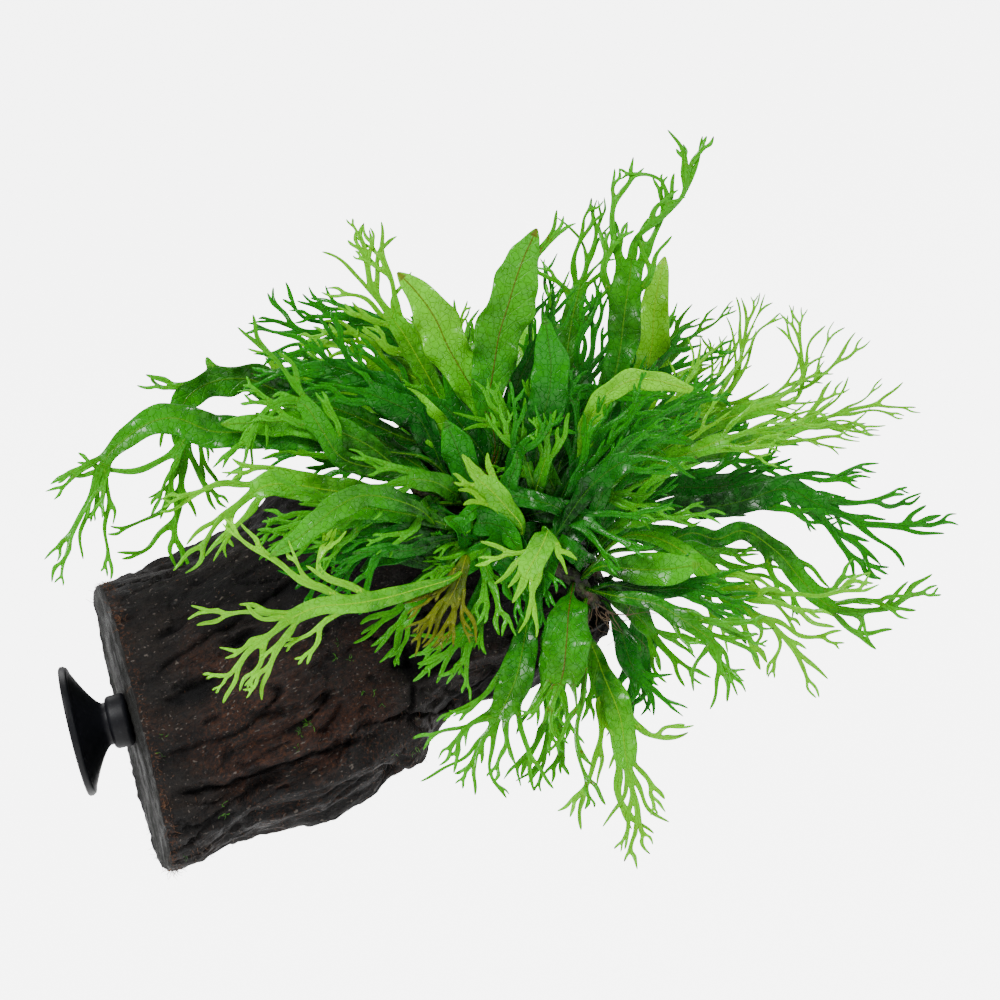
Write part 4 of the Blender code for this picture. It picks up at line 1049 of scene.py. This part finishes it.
def growLobe(sheet, base, path, order, reach, given=(), width=None):
    # A strap that grows from two or three vertices, left to right, and forks again and again
    own, dice = straps[order], sheet["dice"]
    route = smoothRoute(path, 6)
    length = route[2]
    width = (width or own["width"] * dice.uniform(0.8, 1.2)) * sheet["fine"]
    forks = order < 4 and length > own["tip"][0] and dice.random() < own["forked"] * sheet["calm"]
    if forks:
        # The strap stops short, and its prongs reach to the path's end
        ending = 1 - min(own["tip"][1] * lace["short"] / length, lace["shortMost"])
        route = smoothRoute([onRoute(route, ending * n / 4) for n in range(5)], 3)
        length = route[2]
    count = max(ceil(length / own["step"]), 2)
    sway = dice.uniform(0, 6.28)
    twist = radians(dice.uniform(-lace["twist"], lace["twist"]))
    far = dice.uniform(0, 30)
    rib, aside = (lace["ribScale"], 0) if order < 3 else (1, 4)
    last = spreadOver(base, far, rib, aside)
    rows = [(base[0], base[-1])]
    for k in range(1, count + 1):
        share = k / count
        ahead = headingOf(route, share)
        side = acrossWay(ahead, twist * share)
        swing = own["sway"] * width * sin(sway + share * length * 0.45) * min(4 * share, 1)
        spot = onRoute(route, share) + side * swing
        taper = lace["root"] - lace["loss"] * share + (lace["foot"] if k == 1 else 0)
        w = width * taper * (1 + lace["lumps"] * sin(sway * 3 + k * 1.3))
        now = min(reach + (1 - reach) * share * 0.85, 1)
        if k == count and forks:
            w = max(width * 1.2, straps[order + 1]["width"] * 1.5 * sheet["fine"])
        elif k == count:
            w = width * lace["end"]
            now = 1.4 if order > 2 and dice.random() < sheet["dry"] else now
        edge = [(spot + side * w / 2, w / 2), (spot - side * w / 2, -w / 2)]
        if k == count and forks:
            edge.insert(1, (spot + ahead * w * lace["crotch"], 0))
        here = [(addPoint(sheet, place, now), off * rib + aside, far + share * length)
                for place, off in edge]
        addPatch(sheet, last + here[::-1])
        last = here
        rows.append((here[0][0], here[-1][0]))

    # Lobes that the photograph shows, then a few more between them
    taken = set()

    def reachAt(k):
        return reach + (1 - reach) * k / count * 0.8

    for lobe in given:
        k = rowFor(lobe[0], count)
        way = placeOf(sheet["page"], *lobe[1:3]) - rows[k][0].co
        left = acrossWay(headingOf(route, k / count), 0).dot(way) > 0
        k = takeRow(taken, k, left)
        if k:
            sideLobe(sheet, rows, k, left, headingOf(route, k / count), order + 1, reachAt(k),
                     lobe=lobe)
    if order < 4:
        wanted = int(length / own["every"] * dice.uniform(0.75, 1.35) * sheet["calm"])
        for n in range(wanted):
            k = held(round(count * (n + 0.5 + dice.uniform(-0.35, 0.35)) / wanted), 1, count - 1)
            left = (n + int(sway)) % 2 == 0
            if dice.random() < 0.25:
                left = not left
            if {(k, left), (k - 1, left), (k + 1, left)} & taken:
                continue
            taken.add((k, left))
            size = held(length * dice.uniform(0.15, 0.8) * (1.1 - 0.55 * k / count), *own["side"])
            then = min(order + (1 if size > 4 else 2), 4)
            sideLobe(sheet, rows, k, left, headingOf(route, k / count), then, reachAt(k), size)
    if forks:
        ahead = headingOf(route, 1)
        for left in (True, False):
            verts = [c[0] for c in (last[:2] if left else last[1:])]
            way = turned(ahead, (1 if left else -1) * own["fork"] * dice.uniform(*lace["forkSpan"]))
            way.z += dice.uniform(-0.35, 0.35)
            growTip(sheet, verts, way.normalized(), ahead, dice.uniform(*own["tip"]), order + 1,
                    min(reach + (1 - reach) * 0.85, 1))


def growTip(sheet, base, way, ahead, size, order, reach):
    # Outwards first, then back along the strap that it left
    start = sum((v.co for v in base), Vector()) / len(base)
    bend = start + way * size * 0.42
    onward = (ahead * lace["back"] + way * (1 - lace["back"])).normalized()
    tip = bend + turned(onward, sheet["dice"].uniform(-lace["bend"], lace["bend"])) * size * 0.6
    growLobe(sheet, base, [start, bend, tip], order, reach)


def sideLobe(sheet, rows, k, left, ahead, order, reach, size=None, lobe=None):
    # From between two rows, to the place that the photograph shows or of a size
    dice = sheet["dice"]
    base = [rows[k - 1][0], rows[k][0]] if left else [rows[k][1], rows[k - 1][1]]
    if lobe is None:
        way = turned(ahead, (1 if left else -1) * lace["lean"] * dice.uniform(*lace["leanSpan"]))
        way.z += dice.uniform(-0.4, 0.4)
        growTip(sheet, base, way.normalized(), ahead, size, order, reach)
        return
    start = sum((v.co for v in base), Vector()) / 2
    tip = placeOf(sheet["page"], *lobe[1:3], dice.uniform(-1.2, 1.2))
    if len(lobe) > 3:
        bend = placeOf(sheet["page"], *lobe[3:])
    else:
        bend = start + (ahead * 0.45 + (tip - start).normalized() * 0.55) * (tip - start).length / 2
        bend.z = (start.z + tip.z) / 2
    growLobe(sheet, base, [start, bend, tip], order, reach)


def growBlade(sheet, route, leaf, end, count, lanes):
    # Rows of vertices along the route to its end, with a folded, waving and uneven margin
    dice, length, wide, blunt = sheet["dice"], route[2], leaf["wide"], leaf["blunt"]
    twists = [radians(x) for x in leaf["twist"]]
    phase = [dice.uniform(0, 6.28), dice.uniform(0, 6.28)]
    seed = dice.uniform(0, 90)
    rows = []
    for i in range(count + 1):
        share = end * i / count
        far = share * length
        spot, ahead = onRoute(route, share), headingOf(route, share)
        side = acrossWay(ahead, along(twists, share))
        out = side.cross(ahead).normalized()
        width = blade["bluntTip"] if blunt and i == count else bladeWidth(share, wide, blunt)
        body = held((width - 2) / 3)
        reach = min(share / end * (1.0 if blunt else 0.62), 1)
        row = []
        for j in range(lanes + 1):
            x = 1 - 2 * j / lanes
            swing = blade["uneven"] * ripple(far / blade["unevenLength"], seed, x > 0)
            nick = blade["nick"] * ripple(far / blade["nickLength"], seed, x > 0)
            half = width / 2 * (1 + body * (swing + nick))
            wave = sin(far * 2 * pi / blade["waveLength"] + phase[x > 0]
                       + 1.5 * ripple(far / 12, seed + 5, x > 0))
            fold = blade["fold"] * (abs(x) - 0.5 * x * x)
            lift = body * width * (fold + blade["wave"] * wave * x * x)
            thick = 1 - body if share < 0.5 else 0.0
            if share < 0.5 and abs(x) > 0.9:
                thick *= 0.6
            row.append(addPoint(sheet, spot + side * half * x + out * lift, reach, thick))
        rows.append(row)
        if i:
            near, far = ((i - n) * length * end / count for n in (1, 0))
            before = rows[i - 1]
            for j in range(lanes):
                a, b = [(1 - 2 * n / lanes) * width / 2 for n in (j, j + 1)]
                addPatch(sheet, [(before[j], a, near), (before[j + 1], b, near),
                                 (row[j + 1], b, far), (row[j], a, far)])
    return rows


def growLeaf(sheet, name, leaf):
    dice = random.Random(name)
    sheet.update(leaf, dice=dice)
    blunt, root, page = leaf["blunt"], leaf["root"], leaf["page"]
    points = [placeOf(page, u, v) for u, v in leaf["route"]]
    if root:
        nearest = min(stemPlaces, key=lambda p: hypot(p.x - root[0], p.y - root[1]))
    else:
        nearest = min(stemPlaces, key=lambda p: (p - points[0]).length)
    points.insert(0, nearest + (points[0] - nearest).normalized() * stem["radius"] * 0.8)
    route = smoothRoute(points)
    length = route[2]
    lanes = blade["lanes"][leaf["wide"] > blade["broad"]]
    stalk, end = blade["stalkShare"], 1.0
    if not blunt:
        end = stalk + (1 - stalk) * blade["handOver"] * leaf["entire"] * dice.uniform(0.86, 1.08)
    count = ceil(length * end / blade["rowStep"])
    rows = growBlade(sheet, route, leaf, end, count, lanes)

    # Lobes from the blade's margins, as the photograph shows them, then more where it is lacy
    sides = [(row[0], row[-1]) for row in rows]
    taken, late = set(), []
    for lobe in leaf["lobes"]:
        if lobe[0] > end - 0.01:
            late.append(((lobe[0] - end) / (1 - end), *lobe[1:]))
            continue
        heading = headingOf(route, lobe[0])
        left = acrossWay(heading, 0).dot(placeOf(page, *lobe[1:3]) - onRoute(route, lobe[0])) > 0
        k = takeRow(taken, rowFor(lobe[0] / end, count), left)
        sideLobe(sheet, sides, k, left, heading, 1, 0.6, lobe=lobe)
    if blunt:
        return
    for left in (True, False):
        far = length * blade["lobesFrom"] + dice.uniform(0, blade["lobeEvery"]) + leaf["plain"]
        while far < length * end - 2.5:
            k = round(far / (length * end) * count)
            if 0 < k < count and not {(k + n, left) for n in (-1, 0, 1)} & taken:
                taken.add((k, left))
                size = dice.uniform(*blade["lobe"]) * min(length / 70, 1)
                order = 2 if size < 10 else 1
                sideLobe(sheet, sides, k, left, headingOf(route, far / length), order, 0.55, size)
            far += blade["lobeEvery"] * dice.uniform(0.7, 1.6)
    # The blade's end gives way to three straps
    top = rows[-1]
    third = 2 if lanes == 6 else 1
    ahead = headingOf(route, end)
    rest = [onRoute(route, end + (1 - end) * n / 4) for n in range(5)]
    growLobe(sheet, top[third:-third], rest, 1, 0.62, late, straps[1]["width"])
    for left in (True, False):
        base = top[:third + 1] if left else top[-third - 1:]
        way = turned(ahead, (1 if left else -1) * dice.uniform(*lace["beside"]))
        way.z += dice.uniform(-0.25, 0.25)
        size = length * (1 - end) * dice.uniform(*lace["besideShare"])
        size = min(size, lace["besideMost"]) * leaf["fan"]
        growTip(sheet, base, way.normalized(), ahead, size, 1 if size > 8 else 2, 0.6)


def addFrond(name, growing, tone, slot=None, node=None):
    # growing is the leaves of this piece, by the names that seed them
    sheet = newSheet()
    for seed, leaf in growing.items():
        growLeaf(sheet, seed, leaf)
    slot = "leaf_" + (slot or tone.replace("Brown", ""))
    piece = meshPiece(sheet["bm"], name, skins[tone], node, closed=False)
    piece.vertex_groups.new(name="thick")
    shell = piece.modifiers.new("thickness", "SOLIDIFY")
    shell.thickness = blade["stalkThickness"] * mm
    shell.vertex_group = "thick"
    shell.thickness_vertex_group = blade["lamina"] / blade["stalkThickness"]
    shell.offset = 0
    soft = piece.modifiers.new("smooth", "SUBSURF")
    soft.levels = soft.render_levels = 1


def veinGroup():
    # Midrib, side veins and the quilted net between them, from the leaf's own map
    tree, vector, out = newGroup("leafVeins", ["Midrib", "Net", "Height"])
    parts = addNode(tree, "ShaderNodeSeparateXYZ", {0: vector}).outputs
    off = reckon(tree, "ABSOLUTE", reckon(tree, "SUBTRACT", parts[0], 0.5))
    midrib = spread(tree, off, 0.004, 0.012, 1, 0)
    inputs = {"Vector": vector, "Scale": 13.0, "Randomness": 0.9}
    cells = addNode(tree, "ShaderNodeTexVoronoi", inputs, feature="DISTANCE_TO_EDGE",
                    voronoi_dimensions="2D")
    net = spread(tree, cells.outputs[0], 0.0, 0.10, 1, 0)
    slant = reckon(tree, "MULTIPLY_ADD", off, -1.5, parts[1])
    rib = spread(tree, reckon(tree, "SINE", times(tree, slant, 26.0)), 0.82, 1.0)
    net = reckon(tree, "MAXIMUM", net, times(tree, rib, 0.8))
    lowered = reckon(tree, "MULTIPLY_ADD", net, -0.55, 1.0)
    height = reckon(tree, "MULTIPLY_ADD", midrib, 0.5, lowered)
    feed(out, {"Midrib": midrib, "Net": net, "Height": height})
    return tree


def patchGroup():
    # Slow and quick mottling over a leaf, from object coordinates
    tree, vector, out = newGroup("leafMottle", ["Slow", "Quick"])
    feed(out, {"Slow": spread(tree, addNoise(tree, vector, 55, 2, 0.5), 0.36, 0.64),
               "Quick": spread(tree, addNoise(tree, vector, 420, 3, 0.6), 0.35, 0.68)})
    return tree


veins, mottle = veinGroup(), patchGroup()

# Shade and light of each tone, the colour of its tips, and that of its midrib and net
tones = {
    "deep": ((0.0003, 0.014, 0.001), (0.001, 0.085, 0), (0.010, 0.250, 0), (0.018, 0.110, 0)),
    "mid": ((0.0008, 0.042, 0), (0.005, 0.180, 0), (0.055, 0.420, 0), (0.070, 0.240, 0.001)),
    "bright": ((0.005, 0.120, 0), (0.032, 0.360, 0), (0.150, 0.620, 0), (0.160, 0.430, 0.001)),
    "pale": ((0.016, 0.200, 0), (0.085, 0.480, 0), (0.220, 0.720, 0.001), (0.250, 0.560, 0.003)),
    "faded": ((0.022, 0.060, 0.001), (0.075, 0.180, 0.001), (0.130, 0.150, 0.003),
              (0.200, 0.230, 0.010)),
}
skin = {
    "brownRib": (0.110, 0.050, 0.005),
    "tipFrom": 0.30, "tipShare": 0.85,    # where a tip's colour begins, and how full it gets
    "mottle": 0.22, "net": 0.08, "midrib": 0.8,      # how much of each shows
    "dryFrom": 1.02, "dryTo": 1.30, "dryShare": 0.9, "dry": (0.030, 0.012, 0.004),
    "gloss": (0.20, 0.38), "shine": 0.24, "relief": (0.0004, 0.8),
}
for tone in ("mid", "bright"):
    tones[tone + "Brown"] = (*tones[tone][:3], skin["brownRib"])


def leafMaterial(tone):
    shade, light, tip, rib = tones[tone]
    mat, tree, shader = newMaterial("leafSkin" + tone.capitalize(), light)
    reach = attribute(tree, "reach")
    vein = placeGroup(tree, veins, addNode(tree, "ShaderNodeUVMap", uv_map="leafMap").outputs[0])
    patch = placeGroup(tree, mottle, objectPlace(tree))
    colour = coatColour(
        tree, mixColour(tree, patch["Slow"], shade, light),
        (spread(tree, reach, skin["tipFrom"], 1.0, 0.0, skin["tipShare"]), tip),
        (times(tree, patch["Quick"], skin["mottle"]), tip),
        (times(tree, vein["Net"], skin["net"]), rib),
        (times(tree, vein["Midrib"], skin["midrib"]), rib),
        (spread(tree, reach, skin["dryFrom"], skin["dryTo"], 0.0, skin["dryShare"]), skin["dry"]))
    gloss = spread(tree, patch["Quick"], 0, 1, *skin["gloss"])
    feed(shader, {"Base Color": colour, "Roughness": gloss, "Specular IOR Level": skin["shine"]})
    addBump(tree, shader, vein["Height"], *skin["relief"])
    return mat


skins = {tone: leafMaterial(tone) for tone in tones}
stemSkin = mottledMaterial("stemSkin", (0.03, 0.04, 0.012), (0.012, 0.010, 0.005),
                           (0.045, 0.075, 0.016), (700, 3, 0.6), (0.42, 0.62), (0.45, 0.7),
                           (0.0004, 0.8), rust=(0.085, 0.038, 0.014))


def addStem(name, points):
    # A tube of rings with pointed scales pressed to it, closed at both ends
    route = smoothRoute([Vector(p) for p in points])
    count = ceil(route[2] / stem["spacing"])
    bm = bmesh.new()
    rings = []
    for i in range(count + 1):
        share = i / count
        ahead = headingOf(route, share)
        side = ahead.cross(Vector((0, 0, 1))).normalized()
        girth = stem["radius"] * (1 - 0.35 * abs(2 * share - 1) ** 3)
        if i in (0, count):
            girth *= 0.5
        sizes = []
        for k in range(stem["around"]):
            turn = 2 * pi * k / stem["around"]
            far = share * route[2] / stem["scaleLength"] + (0.5 if k % 4 > 1 else 0)
            scale = (1 - far % 1) * stem["scaleHeight"]
            lump = 0.35 * ripple(share * route[2] / 5, cos(turn), sin(turn))
            sizes.append(girth - 0.2 + scale + lump)
        rings.append(ringOf(bm, onRoute(route, share), side, side.cross(ahead), sizes))
    bridgeRings(bm, rings)
    for ring, share, way in ((rings[0], 0, -1), (rings[-1], 1, 1)):
        pole = bm.verts.new(onRoute(route, share) + headingOf(route, share) * way * stem["pole"])
        for k in range(stem["around"]):
            bm.faces.new((ring[k], ring[(k + 1) % stem["around"]], pole))
    meshPiece(bm, name.replace("rhizome", "stem"), stemSkin, name)
    return route[0]


stemPlaces = [p for name, points in stems.items() for p in addStem(name, points)]
print("stems grown")

for name, leaf in leaves.items():
    addFrond(name.replace("leaf", "frond"), {name: leaf}, leaf["tone"], leaf["slot"], name)
print("leaves grown:", len(leaves))

# Smaller leaves between the others. tips and roots are the lowest u and v and the highest in which
# they lie, arch is how far they rise on their way, and blunt is the share of plain ones.
bunchColumns = ("count", "tone", "tips", "roots", "pages", "wide", "arch", "blunt", "fine", "dry")
bunches = {
    "crownLeft": (1, "bright", (60, 98, 88, 121), (90, 55, 108, 60), (-2, 6), (4, 6), 0.05, 0, 0.8),
    "shelfLeft": (4, "mid", (34, 68, 76, 92), (86, 56, 106, 60), (-5, 3), (6, 9.5), 0.16, 0.3),
    "shelfDeep": (6, "deep", (44, 64, 84, 90), (86, 56, 106, 60), (-6, 2), (6, 9), 0.16, 0.3),
    "overWood": (5, "mid", (40, 36, 80, 62), (86, 45, 102, 60), (-9.5, -7.5), (4.5, 7), 0.16, 0.1),
    "overWoodDeep": (9, "deep", (58, 34, 96, 62), (88, 45, 104, 60), (-9, -7), (4.5, 8),
                     0.12, 0.35),
    "topCentre": (3, "deep", (108, 90, 150, 126), (104, 50, 122, 56), (-4, 5), (3.5, 5.5),
                  0, 0, 0.7, 0.4),
    "rightTop": (1, "mid", (150, 78, 194, 104), (112, 40, 130, 54), (-3, 5), (3.5, 5),
                 -0.04, 0, 0.65, 0.5),
    "rightMiddle": (1, "deep", (150, 48, 198, 78), (116, 38, 131, 50), (-5, 4), (3.5, 6), 0.08),
    "heartDeep": (23, "deep", (106, 42, 158, 88), (98, 40, 130, 58), (-8, -2), (3.5, 7.5),
                  0.15, 0.4),
    "heartMid": (6, "mid", (96, 50, 156, 90), (98, 40, 130, 58), (-7.5, -3), (3, 5), 0.15, 0.2),
    "skirtDeep": (12, "deep", (84, 24, 132, 50), (92, 42, 130, 57), (-8.5, -6.5), (4, 8),
                  0.22, 0.4),
    "skirtMid": (3, "mid", (80, 22, 128, 48), (92, 42, 130, 57), (-8.5, -7), (4, 6), 0.22, 0.1),
    "lower": (3, "mid", (94, -22, 144, 8), (108, 36, 130, 45), (-6, -1), (4.5, 7), 0.05),
    "rightLower": (1, "mid", (148, 10, 190, 36), (118, 36, 131, 44), (-6, 0), (4, 6), 0.12),
    "backMid": (6, "mid", (60, 58, 172, 106), (96, 50, 128, 60), (4, 9), (5, 8), 0.05, 0.2),
    "backDeep": (7, "deep", (66, 40, 176, 100), (96, 50, 128, 60), (3, 8), (5, 8), 0.05, 0.3),
}
stray = {
    "places": (0.14, 0.36, 0.58, 0.80, 1.0),      # its route's places on the way to its tip
    "bow": 0.16, "jitter": 0.03,                  # how far they stray, as shares of its length
    "twist": 60, "plain": 12,
}


def strayLeaf(bunch, dice):
    def within(u0, v0, u1, v1):
        return drawn(dice, (u0, u1), (v0, v1))

    def either(most):
        return dice.uniform(-most, most)

    tip, root = within(*bunch["tips"]), within(*bunch["roots"])
    way = tip - root
    bow = Vector((-way.y, way.x)) * either(stray["bow"]) + Vector((0, way.length * bunch["arch"]))
    route = []
    for t in stray["places"]:
        jitter = within(-1, -1, 1, 1) * way.length * stray["jitter"]
        route.append(tuple(root + way * t + bow * sin(pi * t) + jitter))
    page, wide = dice.uniform(*bunch["pages"]), dice.uniform(*bunch["wide"])
    twist = (either(stray["twist"]), either(stray["twist"]))
    return leafOf(page, wide, bunch["tone"], twist, route, root=tuple(root), plain=stray["plain"],
                  blunt=dice.random() < bunch["blunt"], fine=bunch["fine"], dry=bunch["dry"])


for name, row in bunches.items():
    bunch = {**leafHabit, **dict(zip(bunchColumns, row))}
    dice = random.Random(name)
    growing = {name + str(n): strayLeaf(bunch, dice) for n in range(bunch["count"])}
    addFrond("fronds" + name[0].upper() + name[1:], growing, bunch["tone"])
print("bunches filled:", len(bunches))

# An old leaf that has turned olive, with brown tips, low in front of the wood
oldLeaf = leafOf(-8.6, 3.6, "faded", (0, 0), [(97, 43), (95.5, 38), (93, 33), (90, 28), (87, 24)],
                 [(0.40, 83, 32), (0.50, 99, 27), (0.62, 92, 22)], root=(98, 45), dry=0.9, fine=0.8)
addFrond("frondFaded", {"oldLeaf": oldLeaf}, "faded", "pale")


# Hair roots: where they leave the stem, their first direction, and how it changes at each bend
roots = {
    "start": (131.0, 31.0, -14.5), "around": ((-3, 2), (-2, 2), (-1.5, 1.5)),
    "lean": ((0.1, 1.0), (-1.0, 0.3), (-0.4, 0.4)),
    "stray": ((-0.7, 0.8), (-0.8, 0.6), (-0.5, 0.5)),
    "radius": 0.14, "count": 14, "length": (7, 19), "bends": 6, "seed": 7,
}


def addRoots():
    dice = random.Random(roots["seed"])
    bm = bmesh.new()
    for n in range(roots["count"]):
        points = [Vector(roots["start"]) + drawn(dice, *roots["around"])]
        way = drawn(dice, *roots["lean"]).normalized()
        size = dice.uniform(*roots["length"])
        for k in range(roots["bends"]):
            way = (way + drawn(dice, *roots["stray"])).normalized()
            points.append(points[-1] + way * size / roots["bends"])
        addThread(bm, points, roots["radius"] * dice.uniform(0.7, 1.2))
    brown = mottledMaterial("rootSkin", (0.09, 0.05, 0.025), (0.035, 0.020, 0.012),
                            (0.16, 0.10, 0.055), (160, 2, 0.5), (0.35, 0.65), (0.55, 0.8),
                            (0.0001, 0.5))
    meshPiece(bm, "hairRoots", brown, "hair_roots")


addRoots()
print("roots grown")


# Floor and light
studio = {
    "floorDrop": 0.22,        # metres below the lowest leaf
    "floorSize": 30.0,
    "glow": 0.45,             # the floor's own light, so that it stays pale
    "wash": 0.55,             # strength of the even white light
    "paper": (5.5, 6.5),      # how white the floor and the room look
    "lamps": [                # place from the object's middle, size and power
        ((-0.7, -1.2, 1.8), 0.7, 62),
        ((1.5, -1.0, 1.0), 1.2, 10),
        ((0.2, 1.4, 1.5), 1.2, 12),
    ],
}


def seenGlow(tree, light, look):
    # One strength for the light that it gives, another for how it looks to the camera
    ray = addNode(tree, "ShaderNodeLightPath").outputs["Is Camera Ray"]
    return spread(tree, ray, 0, 1, light, look)


def addStudio():
    low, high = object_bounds()
    middle = (low + high) / 2
    floorPaper, roomPaper = studio["paper"]
    bpy.ops.object.select_all(action="DESELECT")
    bpy.ops.mesh.primitive_plane_add(size=studio["floorSize"],
                                     location=(middle.x, middle.y, low.z - studio["floorDrop"]))
    floor = bpy.context.object
    floor.name = "paleFloor"
    mat, tree, shader = newMaterial("palePaper", (0.9, 0.9, 0.9))
    feed(shader, {"Base Color": (0.93, 0.93, 0.93), "Roughness": 0.9, "Specular IOR Level": 0.1,
                  "Emission Color": (1, 1, 1),
                  "Emission Strength": seenGlow(tree, studio["glow"], floorPaper)})
    floor.data.materials.append(mat)
    for i, (place, size, power) in enumerate(studio["lamps"]):
        bpy.ops.object.light_add(type="AREA", location=middle + Vector(place))
        lamp = bpy.context.object
        lamp.name = "softBox%d" % (i + 1)
        lamp.data.size, lamp.data.energy = size, power
        lamp.rotation_euler = (-Vector(place)).to_track_quat("-Z", "Y").to_euler()
    world = bpy.context.scene.world or bpy.data.worlds.new("studio")
    bpy.context.scene.world = world
    world.use_nodes = True
    tree = world.node_tree
    wash = seenGlow(tree, studio["wash"], roomPaper)
    feed(tree.nodes["Background"], {"Color": (1, 1, 1), "Strength": wash})


addStudio()
print("studio lit")
